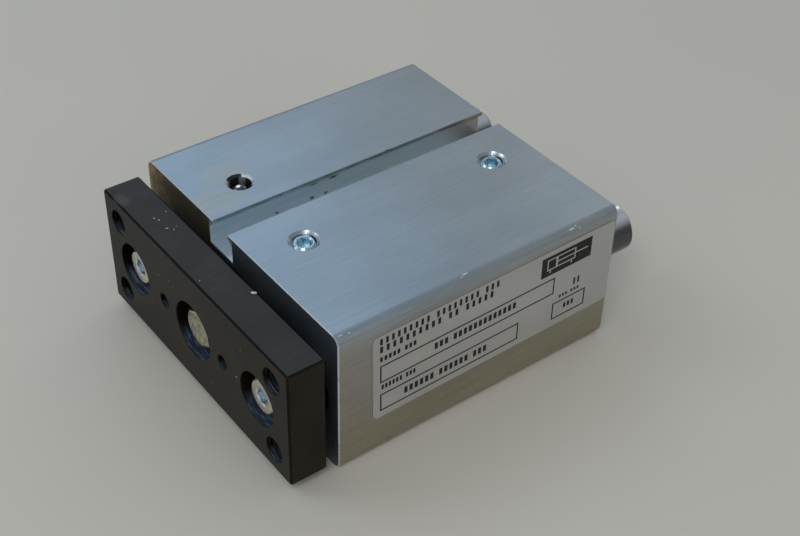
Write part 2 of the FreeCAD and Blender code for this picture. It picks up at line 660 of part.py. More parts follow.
def make_guides(side, sign):
    """Bushes, felt wiper and its ring in the block, and the guide rod, on one side."""
    y = sign + "guide_offset"
    outer = "guide_bore / 2 - static_gap"
    inner = "guide_dia / 2 + running_gap"
    tube("guide_bush_front_" + side, "wiper_end", "guide_bush_length", inner, outer, y=y)
    rear = "body_length - rear_bush_inset - guide_bush_length"
    tube("guide_bush_rear_" + side, rear, "guide_bush_length", inner, outer, y=y)
    tube("guide_wiper_" + side, "wiper_start", "wiper_thick", inner, "wiper_seat / 2 - static_gap", y=y)
    make_retaining_ring("guide_wiper_ring_" + side, "wiper_start - ring_thick",
                        "wiper_seat / 2 + wiper_ring_bite - static_gap", "wiper_ring_band",
                        y=y, eyes=False)

    rod = new_body("guide_rod_" + side, "front_x", y, "axis_height")
    tip = "-body_length - guide_overhang"
    thread = "screw_dia / 2"
    revolve(rod, "turning", [
        ("plate_gap", thread),
        ("plate_gap", "guide_dia / 2 - head_chamfer"),
        ("plate_gap - head_chamfer", "guide_dia / 2"),
        (tip + " + guide_end_chamfer", "guide_dia / 2"),
        (tip, "guide_dia / 2 - guide_end_chamfer"),
        (tip, "0"),
        ("plate_gap - screw_engage - screw_tail - " + thread, "0"),
        ("plate_gap - screw_engage - screw_tail", thread)])

    screw = new_body("guide_rod_screw_" + side, "front_x + plate_gap + plate_thick", y, "axis_height")
    shank = "screw_dia / 2 - thread_gap"
    web = "plate_thick - side_recess"
    revolve(screw, "turning", [
        ("-side_recess - (%s) - screw_engage" % web, "0"),
        ("-side_recess - (%s) - screw_engage" % web, shank + " - head_chamfer"),
        ("-side_recess - (%s) - screw_engage + head_chamfer" % web, shank),
        ("-side_recess", shank),
        ("-side_recess", "cap_head_dia / 2"),
        ("-side_recess + cap_head - head_chamfer", "cap_head_dia / 2"),
        ("-side_recess + cap_head", "cap_head_dia / 2 - head_chamfer"),
        ("-side_recess + cap_head", "cap_socket_mouth / 2"),
        ("-side_recess + cap_head - cap_socket_mouth / 2 / sqrt(3)", "0")])
    socket = new_sketch(screw, "socket_plan", "YZ_Plane", ("0", "0", "-side_recess + cap_head"))
    hexagon(socket, "cap_socket", "cap_turn")
    pocket(screw, "socket", socket, "cap_socket_depth")


def make_port_plug(name, depth):
    """A headless plug with a hexagon socket, just under the top face."""
    body = new_body(name, "front_x - " + depth, "top_port_offset", "body_height - plug_inset")
    radius = "port_dia / 2 - thread_gap"
    revolve(body, "turning", [
        ("0", "-plug_socket_mouth / 2 / sqrt(3)"),
        ("plug_socket_mouth / 2", "0"),
        (radius + " - plug_chamfer", "0"),
        (radius, "-plug_chamfer"),
        (radius, "-plug_length + plug_chamfer"),
        (radius + " - plug_chamfer", "-plug_length"),
        ("0", "-plug_length")], axis="V_Axis")
    socket = new_sketch(body, "socket_plan", "XY_Plane")
    hexagon(socket, "plug_socket", "cap_turn")
    pocket(body, "socket", socket, "plug_socket_depth")


def make_ball():
    """The steel ball pressed into the cross drilling, on the edge of its seat."""
    ball = doc.addObject("Part::Sphere", "passage_ball")
    ball.Label = "passage_ball"
    ball.setExpression("Radius", link("ball_dia / 2"))
    ball.setExpression("Placement.Base.x", link("front_x - front_port"))
    ball.setExpression("Placement.Base.y", link("-ball_offset"))
    ball.setExpression("Placement.Base.z", link("body_height - ball_inset - ball_dia / 2"))
    parts["passage_ball"] = ball


def make_label():
    """The thin type label on the side, a little askew."""
    body = new_body("type_label", "front_x - label_depth", "body_width / 2", "axis_height + label_rise")
    body.setExpression("Placement.Base.y", link("body_width / 2"))
    body.Placement = FreeCAD.Placement(body.Placement.Base,
                                       FreeCAD.Rotation(FreeCAD.Vector(0, 1, 0), value_of("label_turn")))
    body.setExpression("Placement.Rotation.Angle", link("label_turn"))
    plan = new_sketch(body, "plan", "XZ_Plane")
    wide = "label_length / 2"
    high = "label_height / 2"
    outline(plan, [("-" + wide, "-" + high), (wide, "-" + high), (wide, high), ("-" + wide, high)])
    pad(body, "sheet", plan, "label_thick", reverse=True)
    corner = (value_of(wide), value_of(high))
    upright = edges_where(body, lambda p: near(abs(p.x), corner[0]) and near(abs(p.z), corner[1]))
    soften(body, "Fillet", "corners", upright, "label_corner")


def make_plate():
    """The black tool plate with its recesses, tapped holes and dowel holes."""
    body = new_body("tool_plate", "front_x + plate_gap + plate_thick", "0", "axis_height")
    face = new_sketch(body, "outline", "YZ_Plane")
    wide = "plate_width / 2"
    high = "plate_height / 2"
    outline(face, [("-" + wide, "-" + high), (wide, "-" + high), (wide, high), ("-" + wide, high)])
    pad(body, "slab", face, "plate_thick", reverse=True)
    names = ["Edge%d" % number for number in range(1, len(body.Tip.Shape.Edges) + 1)]
    soften(body, "Chamfer", "edges", names, "plate_chamfer")

    bore(body, "centre_recess", [
        ("cut_over", "0"),
        ("cut_over", "centre_recess_dia / 2 + recess_chamfer"),
        ("0", "centre_recess_dia / 2 + recess_chamfer"),
        ("-recess_chamfer", "centre_recess_dia / 2"),
        ("-centre_recess", "centre_recess_dia / 2"),
        ("-centre_recess", "screw_hole / 2"),
        ("-plate_thick + rod_recess", "screw_hole / 2"),
        ("-plate_thick + rod_recess", "rod_dia / 2 + static_gap"),
        ("-plate_thick - cut_over", "rod_dia / 2 + static_gap"),
        ("-plate_thick - cut_over", "0")])
    side = bore(body, "side_recess", [
        ("cut_over", "0"),
        ("cut_over", "side_recess_dia / 2 + recess_chamfer"),
        ("0", "side_recess_dia / 2 + recess_chamfer"),
        ("-recess_chamfer", "side_recess_dia / 2"),
        ("-side_recess", "side_recess_dia / 2"),
        ("-side_recess", "screw_hole / 2"),
        ("-plate_thick - cut_over", "screw_hole / 2"),
        ("-plate_thick - cut_over", "0")],
        offset=("0", "0", "-guide_offset"))
    mirror_across_middle(body, "side_recesses", [side])

    tapped = new_sketch(body, "tapped_plan", "YZ_Plane")
    circles(tapped, [("%splate_hole_y" % a, "%splate_hole_z" % b, "plate_hole_dia")
                     for a in ("", "-") for b in ("", "-")])
    hole_set(body, "tapped_holes", tapped, "plate_hole_dia", "plate_thick + cut_over")
    dowels = new_sketch(body, "dowel_plan", "YZ_Plane")
    circles(dowels, [("%splate_dowel_y" % a, "0", "plate_dowel_dia") for a in ("", "-")])
    hole_set(body, "dowel_holes", dowels, "plate_dowel_dia", "plate_dowel_depth")


def make_rod():
    """The piston rod and the bolt that ties it to the plate."""
    rod = new_body("piston_rod", "front_x", "0", "axis_height")
    front = "plate_gap + rod_recess"
    stud_end = "-piston_rear + nut_room / 3"
    thread = "screw_dia / 2"
    revolve(rod, "turning", [
        (front, thread),
        (front, "rod_dia / 2 - head_chamfer"),
        (front + " - head_chamfer", "rod_dia / 2"),
        ("-piston_front", "rod_dia / 2"),
        ("-piston_front", "stud_dia / 2"),
        (stud_end + " + head_chamfer", "stud_dia / 2"),
        (stud_end, "stud_dia / 2 - head_chamfer"),
        (stud_end, "0"),
        (front + " - screw_engage - screw_tail - " + thread, "0"),
        (front + " - screw_engage - screw_tail", thread)])

    bolt = new_body("rod_bolt", "front_x + plate_gap + plate_thick", "0", "axis_height")
    under = new_sketch(bolt, "head_plan", "YZ_Plane", ("0", "0", "-centre_recess"))
    hexagon(under, "hex_across", "hex_turn")
    pad(bolt, "head", under, "hex_head")
    corner = "hex_across / sqrt(3)"
    bore(bolt, "head_bevel", [
        ("-centre_recess + hex_head + cut_over", "hex_across / 2 - hex_across / 50"),
        ("-centre_recess + hex_head + cut_over", corner + " + cut_over"),
        ("-centre_recess + hex_head - (%s - hex_across / 2) * 0.6" % corner, corner + " + 0.01"),
        ("-centre_recess + hex_head", "hex_across / 2 - hex_across / 50")])
    shank = "screw_dia / 2 - thread_gap"
    tip = "-plate_thick + rod_recess - screw_engage"
    revolve(bolt, "shank", [
        ("-centre_recess + hex_head / 4", "0"),
        ("-centre_recess + hex_head / 4", shank),
        (tip + " + head_chamfer", shank),
        (tip, shank + " - head_chamfer"),
        (tip, "0")])


def make_piston():
    """The piston with its magnet, seal, wear ring and nut."""
    body = new_body("piston", "front_x - piston_front", "0", "axis_height")
    outer = "bore_dia / 2 - piston_gap"
    magnet = ("piston_land", "magnet_width", "bore_dia / 2 - magnet_height")
    seal = ("2 * piston_land + magnet_width", "piston_seal_width", "bore_dia / 2 - piston_seal_height")
    wear = ("3 * piston_land + magnet_width + piston_seal_width", "wear_width", "bore_dia / 2 - wear_height")
    well = "nut_across / sqrt(3) + nut_room"
    points = [("0", "stud_dia / 2 + static_gap"), ("0", outer)]
    for start, width, floor in (magnet, seal, wear):
        points.append(("-(%s)" % start, outer))
        points.append(("-(%s)" % start, floor))
        points.append(("-(%s) - %s" % (start, width), floor))
        points.append(("-(%s) - %s" % (start, width), outer))
    points.append(("-piston_length", outer))
    points.append(("-piston_length", well))
    points.append(("-piston_length + nut_height + nut_room", well))
    points.append(("-piston_length + nut_height + nut_room", "stud_dia / 2 + static_gap"))
    revolve(body, "turning", points)

    for name, groove, gap in (("piston_magnet", magnet, "piston_gap"),
                              ("piston_seal", seal, "running_gap"),
                              ("piston_wear_ring", wear, "running_gap")):
        start, width, floor = groove
        ring = tube(name, "piston_front + %s + static_gap" % start, width + " - 2 * static_gap",
                    floor + " + static_gap", "bore_dia / 2 - " + gap, chamfer="0.15")
        if name == "piston_wear_ring":
            slit = new_sketch(ring, "slit_plan", "XY_Plane", ("-piston_front", "0", "0"))
            outline(slit, [("-piston_length", "-wear_slit / 2"), ("0", "-wear_slit / 2"),
                           ("0", "wear_slit / 2"), ("-piston_length", "wear_slit / 2")])
            pocket(ring, "slit", slit, "bore_dia", reverse=True)

    nut = new_body("piston_nut", "front_x - piston_rear + nut_height + nut_room", "0", "axis_height")
    plan = new_sketch(nut, "plan", "YZ_Plane")
    hexagon(plan, "nut_across")
    pad(nut, "hexagon", plan, "nut_height", reverse=True)
    hole = new_sketch(nut, "hole_plan", "YZ_Plane")
    circles(hole, [("0", "0", "stud_dia + 2 * thread_gap")])
    pocket(nut, "thread", hole, "nut_height")


def export_parts():
    """Checks every object and writes one file for each piece."""
    doc.recompute()
    for thing in doc.Objects:
        if "Invalid" in thing.State or "Error" in thing.State:
            raise ValueError("%s failed: %s" % (thing.Name, thing.State))
    if len(parts) > MAX_NODES:
        raise ValueError("too many pieces")
    for name, thing in parts.items():
        shape = thing.Shape
        if shape.isNull() or not shape.isValid() or len(shape.Solids) != 1:
            raise ValueError("%s is not one valid solid" % name)
    os.makedirs("parts", exist_ok=True)
    for name, thing in parts.items():
        thing.Shape.exportStep("parts/%s.step" % name)


make_block()
make_gland()
make_retaining_ring("gland_retaining_ring", "gland_front - ring_thick",
                    "seat_dia / 2 + ring_bite - static_gap", "ring_band", "ring_taper")
make_rear_cap()
make_retaining_ring("rear_retaining_ring", "cap_end",
                    "seat_dia / 2 + ring_bite - static_gap", "ring_band", "ring_taper")
for side_name, side_sign in (("left", ""), ("right", "-")):
    make_guides(side_name, side_sign)
make_port_plug("port_plug_front", "front_port")
make_port_plug("port_plug_rear", "rear_port")
make_ball()
make_label()
make_plate()
make_rod()
make_piston()
export_parts()
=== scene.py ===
"""Looks of a compact pneumatic cylinder with two guide rods: camera, light, finishes, threads and label.

Lengths named in millimetres are turned into metres with MM where geometry is made. The row frame is the
CAD frame: +X is the way the rod comes out, +Y the side with the label, +Z up.
"""

import json
import math
import random

import bmesh
import bpy
from mathutils import Matrix, Vector


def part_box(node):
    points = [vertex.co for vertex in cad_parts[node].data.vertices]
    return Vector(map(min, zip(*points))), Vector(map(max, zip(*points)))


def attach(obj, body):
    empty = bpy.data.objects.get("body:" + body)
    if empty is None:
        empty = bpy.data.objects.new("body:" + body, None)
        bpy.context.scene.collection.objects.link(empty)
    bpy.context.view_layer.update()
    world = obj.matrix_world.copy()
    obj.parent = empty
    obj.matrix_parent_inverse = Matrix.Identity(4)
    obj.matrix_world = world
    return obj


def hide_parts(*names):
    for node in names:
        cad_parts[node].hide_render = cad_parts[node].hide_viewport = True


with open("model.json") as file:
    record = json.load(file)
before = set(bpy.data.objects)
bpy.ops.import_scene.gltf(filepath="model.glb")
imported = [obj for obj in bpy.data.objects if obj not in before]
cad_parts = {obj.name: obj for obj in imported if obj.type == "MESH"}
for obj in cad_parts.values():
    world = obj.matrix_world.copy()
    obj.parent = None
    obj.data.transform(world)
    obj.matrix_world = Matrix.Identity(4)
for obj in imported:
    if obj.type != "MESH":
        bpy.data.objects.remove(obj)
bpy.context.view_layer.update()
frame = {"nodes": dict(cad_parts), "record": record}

MM = 0.001

# Camera, at the photograph's viewing angle
PHOTO_WIDTH = 800
FOCAL_LENGTH_PIXELS = 1352.7
SENSOR_WIDTH = 36.0
CAMERA_PLACE = (0.12444, 0.16644, 0.17994)
CAMERA_TARGET = (0.0001, 0.0073, 0.0150)
CAMERA_ROLL_DEGREES = 1.69

# Soft studio light
WORLD_COLOUR = (0.93, 0.97, 1.0)
WORLD_STRENGTH = 0.34
LAMPS = (
    # name, place, target, width and depth, watts, colour
    ("sky_panel", (-0.13, -0.42, 0.44), (0, 0, 0.03), (0.30, 0.24), 0.22, (0.62, 0.82, 1.0)),
    ("rear_panel", (-0.45, -0.21, 0.36), (-0.03, 0, 0.03), (0.26, 0.18), 0.12, (0.80, 0.91, 1.0)),
    ("key_panel", (0.34, -0.30, 0.46), (0, 0, 0.02), (0.26, 0.26), 0.42, (0.80, 0.91, 1.0)),
    ("lamp_panel", (0.28, 0.225, 0.46), (0.02, 0, 0.03), (0.20, 0.20), 0.42, (0.93, 0.98, 1.0)),
    ("side_panel", (0.05, 0.55, 0.25), (0, 0, 0.01), (0.45, 0.30), 0.2, (1.0, 0.96, 0.90)),
)
FLOOR_SIZE = 6.0
FLOOR_COLOUR = (0.78, 0.735, 0.655)

# Places on the object, in millimetres
BLOCK_HALF_WIDTH = 32.0
BLOCK_TOP_Z = 31.0
SLOT_CENTRE_Y = -5.1
SLOT_HALF_WIDTH = 3.95
SLOT_FLOOR_Z = 25.5
SLOT_LIP_Z = 30.15
BALL_X, BALL_Y = 21.4, -15.1
BALL_HOLE_RADIUS = 2.32
# painted highlight on top of the ball
BALL_HIGHLIGHT_SPOT = ((21.8, -15.2, 30.15), (0.62, 0.62, 0.4))
GUIDE_Y = 21.6
CAP_HEAD_X = 40.65
PLATE_BACK_X, PLATE_FRONT_X = 34.05, 41.65
PLATE_HALF_WIDTH = 31.75
PLATE_LOW_Z, PLATE_HIGH_Z = 2.0, 28.0
AXIS_Z = 15.0
PORT_X = (21.4, -22.15)
PORT_Y = 6.6
SIDE_PORT_Z = 25.6

# Label, in millimetres: u runs to the reader's right, which is -X, and v runs up, both from its middle
LABEL_WIDTH, LABEL_HEIGHT = 56.0, 19.2
FILM_THICKNESS, INK_THICKNESS = 0.14, 0.005
LABEL_CORNER_RADIUS = 1.2
LABEL_TURN_DEGREES = 0.9
FRAME_LINE = 0.32


class Finish:
    """One material. Each call adds nodes and returns the output socket that carries its result."""

    def __init__(self, name, metallic=0.0):
        self.material = bpy.data.materials.new("finish_" + name)
        self.material.use_nodes = True
        self.tree = self.material.node_tree
        self.surface = self.tree.nodes["Principled BSDF"]
        self.surface.inputs["Metallic"].default_value = metallic
        coordinates = self.add("TexCoord")
        self.place = self.vector("SCALE", coordinates.outputs["Object"], scale=1 / MM)
        self.x, self.y, self.z = self.split(self.place)
        self.normal_x, self.normal_y, self.normal_z = self.split(coordinates.outputs["Normal"])

    def add(self, kind, **settings):
        node = self.tree.nodes.new("ShaderNode" + kind)
        for key, value in settings.items():
            setattr(node, key, value)
        return node

    def feed(self, socket, value):
        if isinstance(value, bpy.types.NodeSocket):
            self.tree.links.new(value, socket)
        elif value is not None:
            socket.default_value = value

    def math(self, operation, a, b=None):
        node = self.add("Math", operation=operation)
        self.feed(node.inputs[0], a)
        self.feed(node.inputs[1], b)
        return node.outputs[0]

    def vector(self, operation, a, b=None, scale=None):
        node = self.add("VectorMath", operation=operation)
        self.feed(node.inputs[0], a)
        self.feed(node.inputs[1], b)
        if scale is not None:
            self.feed(node.inputs["Scale"], scale)
        return node.outputs["Value" if operation == "LENGTH" else "Vector"]

    def split(self, vector):
        node = self.add("SeparateXYZ")
        self.feed(node.inputs[0], vector)
        return node.outputs

    def join(self, x, y, z):
        node = self.add("CombineXYZ")
        for socket, value in zip(node.inputs, (x, y, z)):
            self.feed(socket, value)
        return node.outputs[0]

    def plus(self, a, b):
        return self.math("ADD", a, b)

    def minus(self, a, b):
        return self.math("SUBTRACT", a, b)

    def both(self, a, b):
        return self.math("MULTIPLY", a, b)

    def either(self, a, b):
        return self.math("MAXIMUM", a, b)

    def absolute(self, a):
        return self.math("ABSOLUTE", a)

    def ramp(self, value, low, high, out_low=0.0, out_high=1.0):
        """A smooth step from out_low, at low, to out_high, at high."""
        node = self.add("MapRange", interpolation_type="SMOOTHSTEP")
        self.feed(node.inputs["Value"], value)
        limits = {"From Min": low, "From Max": high, "To Min": out_low, "To Max": out_high}
        for name, number in limits.items():
            self.feed(node.inputs[name], number)
        return node.outputs["Result"]

    def band(self, value, low, high, soft):
        """1 between low and high, with soft ends."""
        rise = self.ramp(value, low - soft, low + soft)
        fall = self.ramp(value, high + soft, high - soft)
        return self.both(rise, fall)

    def mix(self, share, a, b):
        node = self.add("Mix", data_type="RGBA")
        for socket, value in zip((node.inputs[0], node.inputs[6], node.inputs[7]), (share, a, b)):
            self.feed(socket, (*value, 1.0) if isinstance(value, tuple) else value)
        return node.outputs[2]

    def brighten(self, colour, factor):
        return self.vector("SCALE", colour, scale=factor)

    def noise(self, cycles, detail=2.0, roughness=0.5, seed=0.0, place=None):
        """Noise with its own number of cycles per millimetre along each axis, around 0.5."""
        stretched = self.vector("MULTIPLY", place or self.place, cycles)
        shifted = self.vector("ADD", stretched, (seed * 7.31, seed * 3.17, seed * 5.53))
        node = self.add("TexNoise")
        self.feed(node.inputs["Vector"], shifted)
        self.feed(node.inputs["Scale"], 1.0)
        self.feed(node.inputs["Detail"], detail)
        self.feed(node.inputs["Roughness"], roughness)
        return node.outputs["Fac"]

    def specks(self, cell, radius, share, seed=0.0):
        """Round specks in a share of the cells of a random grid; cell and radius are in millimetres."""
        node = self.add("TexVoronoi", feature="F1")
        shifted = self.vector("ADD", self.place, (seed * 11.3, seed * 5.9, seed * 8.7))
        self.feed(node.inputs["Vector"], shifted)
        self.feed(node.inputs["Scale"], 1.0 / cell)
        chance, size, _ = self.split(node.outputs["Color"])
        reach = self.both(self.ramp(size, 0.0, 1.0, 0.35, 1.0), radius / cell)
        round_speck = self.ramp(self.math("DIVIDE", node.outputs["Distance"], reach), 1.0, 0.6)
        return self.both(round_speck, self.math("LESS_THAN", chance, share))

    def spot(self, centre, radii, ragged=0.0):
        """A soft-edged spot at a place in millimetres, with its own radius along each axis."""
        offset = self.vector("SUBTRACT", self.place, centre)
        distance = self.vector("LENGTH", self.vector("DIVIDE", offset, radii))
        if ragged:
            rough = self.noise((2.5, 2.5, 2.5), detail=3.0)
            distance = self.plus(distance, self.both(self.minus(rough, 0.5), ragged))
        return self.ramp(distance, 1.0, 0.45)

    def spots(self, rows):
        """The strongest of several spots, each a place and radii in millimetres."""
        total = 0.0
        for centre, radii in rows:
            total = self.either(total, self.spot(centre, radii, ragged=0.6))
        return total

    def radius_about_z(self, centre_x, centre_y):
        offset = self.join(self.minus(self.x, centre_x), self.minus(self.y, centre_y), 0.0)
        return self.vector("LENGTH", offset)

    def radius_about_x(self, centre_y, centre_z):
        offset = self.join(0.0, self.minus(self.y, centre_y), self.minus(self.z, centre_z))
        return self.vector("LENGTH", offset)

    def edge_closeness(self, box_low, box_high):
        """Distance in millimetres to the nearest edge of a box, for a point on one of its faces."""
        gaps = []
        for value, low, high in zip((self.x, self.y, self.z), box_low, box_high):
            gaps.append(self.math("MINIMUM", self.minus(value, low), self.minus(high, value)))
        smaller = self.math("MINIMUM", gaps[0], gaps[1])
        larger = self.either(gaps[0], gaps[1])
        return self.either(smaller, self.math("MINIMUM", larger, gaps[2]))

    def done(self, colour, roughness, height=None, relief=0.01):
        """Feeds the surface; relief is the height of the bumps in millimetres."""
        self.feed(self.surface.inputs["Base Color"], colour)
        self.feed(self.surface.inputs["Roughness"], roughness)
        if height is not None:
            bump = self.add("Bump")
            self.feed(bump.inputs["Height"], height)
            self.feed(bump.inputs["Distance"], relief * MM)
            self.feed(self.surface.inputs["Normal"], bump.outputs["Normal"])
        return self.material


def centred(finish, value, amount):
    """Turns noise around 0.5 into a factor around 1."""
    return finish.ramp(value, 0.2, 0.8, 1.0 - amount, 1.0 + amount)


SCRATCHES = (
    # place and radii in millimetres: rubs on the long top edge beside the label
    ((-20.4, 31.45, 30.6), (0.9, 0.3, 0.3)),
    ((-21.5, 31.2, 30.75), (0.3, 0.2, 0.2)),
    ((-22.2, 31.75, 30.3), (0.3, 0.2, 0.25)),
    ((3.9, 30.5, 30.9), (0.9, 0.22, 0.25)),
    ((4.9, 30.8, 30.8), (0.5, 0.18, 0.2)),
    ((30.6, 30.9, 30.8), (0.7, 0.16, 0.2)),
    ((28.9, 31.1, 30.7), (0.4, 0.14, 0.2)),
)
WARM_REFLECTION_SPOTS = (
    # place and radii in millimetres: a painted warm reflection on the top at the front corner beside the
    # slot
    ((28.0, -12.5, 31.0), (7.0, 5.0, 2.0)),
    ((22.0, -19.0, 31.0), (6.0, 5.0, 2.0)),
)
SLOT_DIRT = (
    # place and radii in millimetres: debris on the far wall of the sensor slot
    ((17.3, -8.95, 25.8), (0.45, 0.3, 0.35)),
    ((9.3, -8.95, 25.9), (0.60, 0.3, 0.50)),
    ((6.1, -8.95, 25.8), (0.6, 0.3, 0.35)),
    ((8.9, -8.95, 29.2), (1.6, 0.4, 0.6)),
    ((13.7, -8.95, 29.4), (1.3, 0.4, 0.5)),
    ((4.3, -8.95, 29.0), (1.4, 0.4, 0.6)),
)


def block_side_colour(f):
    """The block's sides: lighter towards the front, with a painted warm floor reflection low down and a
    painted blue sky reflection under the top edge.
    """
    colour = f.mix(f.ramp(f.x, 5.0, 31.0), (0.34, 0.33, 0.300), (0.385, 0.372, 0.340))
    # painted reflection of a warm floor, strongest low down on the sides
    floor_reflection_share = f.both(f.ramp(f.z, 20.0, 2.0), f.ramp(f.normal_y, -0.5, 0.5, 0.2, 0.65))
    colour = f.mix(floor_reflection_share, colour, (0.38, 0.355, 0.235))
    # painted blue sky reflection in a band under the top edge
    return f.mix(f.ramp(f.z, 25.5, 29.5), colour, (0.38, 0.42, 0.45))


def block_end_colour(f):
    """The block's ends: plain at the rear; in front, painted dark for the shade in the gap behind the plate,
    with a mottled painted warm reflection on the -Y half.
    """
    # mottle of the painted warm reflection on the front end
    film = f.ramp(f.noise((0.25, 0.25, 0.35), detail=3.0, roughness=0.6, seed=10.0), 0.30, 0.62)
    warm_reflection_tone = f.mix(f.ramp(f.y, -16.0, -31.0), (0.20, 0.155, 0.08), (0.46, 0.31, 0.08))
    end_warm_reflection = f.mix(film, warm_reflection_tone, (0.15, 0.135, 0.10))
    # painted shade: the front end is dark where it faces the plate across the gap
    front_colour = f.mix(f.ramp(f.y, -3.0, -8.0), (0.15, 0.17, 0.19), end_warm_reflection)
    return f.mix(f.ramp(f.normal_x, -0.5, 0.5), (0.38, 0.39, 0.38), front_colour)


def slot_wall_colour(f):
    """The walls of the sensor slot: a pale, bluish painted reflection that is bluest in front, brown at the
    rear end, and mottled painted shade under the lip.
    """
    film = f.ramp(f.noise((0.10, 0.8, 0.8), detail=4.0, seed=4.0), 0.35, 0.75)
    # painted reflection: the slot walls are pale and bluish, bluest in front
    colour = f.mix(f.ramp(f.x, -12.0, 30.0), (0.72, 0.80, 0.83), (0.72, 0.84, 0.91))
    colour = f.mix(f.both(film, 0.4), colour, (0.57, 0.64, 0.67))
    colour = f.mix(f.ramp(f.x, -23.0, -31.0), colour, (0.42, 0.39, 0.38))
    # painted shade under the lip, mottled by noise
    under_lip = f.ramp(f.z, SLOT_LIP_Z - 0.45, SLOT_LIP_Z + 0.25)
    lip_shade_noise = f.noise((0.3, 1.0, 1.0), detail=3.0, roughness=0.6, seed=9.0)
    stain_and_shade = f.ramp(lip_shade_noise, 0.30, 0.62, 0.45, 0.95)
    return f.mix(f.both(under_lip, stain_and_shade), colour, (0.29, 0.285, 0.245))


def body_aluminium():
    """Extruded block: hairline along X on its skin, milled arcs on its ends, dirt and rubs, with painted
    reflections on its top, sides, front end and slot walls, and painted shade in the front gap, under the
    slot lip and in the ball hole.
    """
    f = Finish("body_aluminium")
    end_face = f.ramp(f.absolute(f.normal_x), 0.90, 0.97)
    f.feed(f.surface.inputs["Metallic"], f.ramp(f.normal_z, 0.3, 0.9, 0.90, 0.82))
    broken_edge = f.band(f.absolute(f.normal_x), 0.45, 0.85, 0.06)
    upward = f.ramp(f.normal_z, 0.5, 0.95)
    sideways = f.ramp(f.absolute(f.normal_y), 0.6, 0.95)

    fine_hairline = f.noise((0.35, 7.0, 7.0), detail=4.0, roughness=0.65)
    long_hairline = f.noise((0.05, 2.2, 2.2), detail=3.0, roughness=0.6, seed=1.0)
    cloud = f.noise((0.045, 0.07, 0.07), detail=2.0, seed=2.0)
    grain = f.noise((5.5, 5.5, 5.5), detail=2.0, seed=3.0)

    arc_radius = f.radius_about_x(55.0, -48.0)
    arcs = f.noise((2.6, 0.05, 0.05), detail=3.0, place=f.join(arc_radius, f.y, f.z))
    streaks = f.mix(end_face, fine_hairline, f.ramp(arcs, 0.0, 1.0, 0.30, 0.70))

    # painted sky reflection: the top is lighter and bluer than the sides, and bluer towards the front
    painted_top_sheen = f.mix(f.ramp(f.x, -30.0, 32.0), (0.405, 0.450, 0.480), (0.360, 0.440, 0.520))
    colour = f.mix(upward, block_side_colour(f), painted_top_sheen)
    colour = f.mix(end_face, colour, block_end_colour(f))
    # painted warm reflection on the top near the front corner
    warm_reflection_share = f.both(upward, f.spots(WARM_REFLECTION_SPOTS))
    colour = f.mix(f.both(warm_reflection_share, 0.55), colour, (0.445, 0.455, 0.425))
    colour = f.brighten(colour, centred(f, streaks, 0.09))
    colour = f.brighten(colour, centred(f, long_hairline, 0.05))
    colour = f.brighten(colour, centred(f, cloud, 0.07))
    colour = f.brighten(colour, centred(f, grain, 0.05))

    drawn_lines = f.ramp(f.noise((0.035, 3.4, 3.4), detail=3.0, roughness=0.7, seed=7.0), 0.50, 0.74)
    colour = f.mix(f.both(f.both(sideways, drawn_lines), 0.60), colour, (0.22, 0.205, 0.17))
    pale_lines = f.ramp(f.noise((0.05, 4.5, 4.5), detail=3.0, roughness=0.7, seed=8.0), 0.60, 0.78)
    colour = f.mix(f.both(f.both(sideways, pale_lines), 0.30), colour, (0.60, 0.59, 0.56))

    in_slot = f.both(
        f.band(f.y, SLOT_CENTRE_Y - SLOT_HALF_WIDTH, SLOT_CENTRE_Y + SLOT_HALF_WIDTH, 0.05),
        f.band(f.z, SLOT_FLOOR_Z - 0.4, 30.86, 0.05),
    )
    colour = f.mix(in_slot, colour, slot_wall_colour(f))

    slot_dirt = f.both(in_slot, f.spots(SLOT_DIRT))
    pits = f.specks(cell=2.6, radius=0.16, share=0.05, seed=1.0)
    lip_edge = f.band(f.absolute(f.minus(f.y, SLOT_CENTRE_Y)), 2.62, 2.78, 0.06)
    lip_dirt = f.ramp(f.noise((0.5, 1.2, 1.2), detail=4.0, roughness=0.7, seed=5.0), 0.56, 0.68)
    small_marks = f.either(f.both(pits, 0.5), f.both(f.both(lip_edge, lip_dirt), 0.6))
    marks = f.either(f.both(slot_dirt, 0.85), small_marks)
    colour = f.mix(marks, colour, (0.075, 0.07, 0.062))

    # painted shade: the hole round the ball and its chamfer are painted near black
    ball_hole = f.both(
        f.ramp(f.radius_about_z(BALL_X, BALL_Y), BALL_HOLE_RADIUS + 0.66, BALL_HOLE_RADIUS + 0.50),
        f.band(f.z, 16.0, 30.985, 0.01),
    )
    colour = f.mix(ball_hole, colour, (0.055, 0.052, 0.050))

    bare = f.both(broken_edge, f.ramp(f.noise((0.8, 0.8, 0.8), detail=2.0, seed=6.0), 0.25, 0.5, 0.4, 1.0))
    colour = f.mix(bare, colour, (0.70, 0.78, 0.84))
    colour = f.mix(f.spots(SCRATCHES), colour, (0.86, 0.90, 0.93))

    roughness = f.plus(0.36, f.both(f.minus(streaks, 0.5), 0.22))
    roughness = f.minus(roughness, f.both(bare, 0.10))
    roughness = f.plus(roughness, f.both(end_face, 0.16))
    roughness = f.plus(roughness, f.both(ball_hole, 0.25))
    height = f.plus(f.both(streaks, 0.8), f.both(grain, 0.25))
    height = f.minus(height, f.both(pits, 1.5))
    return f.done(colour, roughness, height, relief=0.012)


FRONT_SPECKS = (
    # place and radii in millimetres: grains that cling to the front of the plate
    ((41.65, -7.5, 21.7), (0.3, 0.17, 0.17)),
    ((41.65, -11.9, 20.2), (0.3, 0.14, 0.16)),
    ((41.65, -6.2, 21.2), (0.3, 0.13, 0.13)),
    ((41.65, 17.0, 23.1), (0.3, 0.16, 0.16)),
    ((41.65, 15.0, 15.2), (0.3, 0.24, 0.24)),
    ((41.65, 5.7, 6.6), (0.3, 0.16, 0.16)),
    ((41.65, -15.9, 10.8), (0.3, 0.16, 0.16)),
)


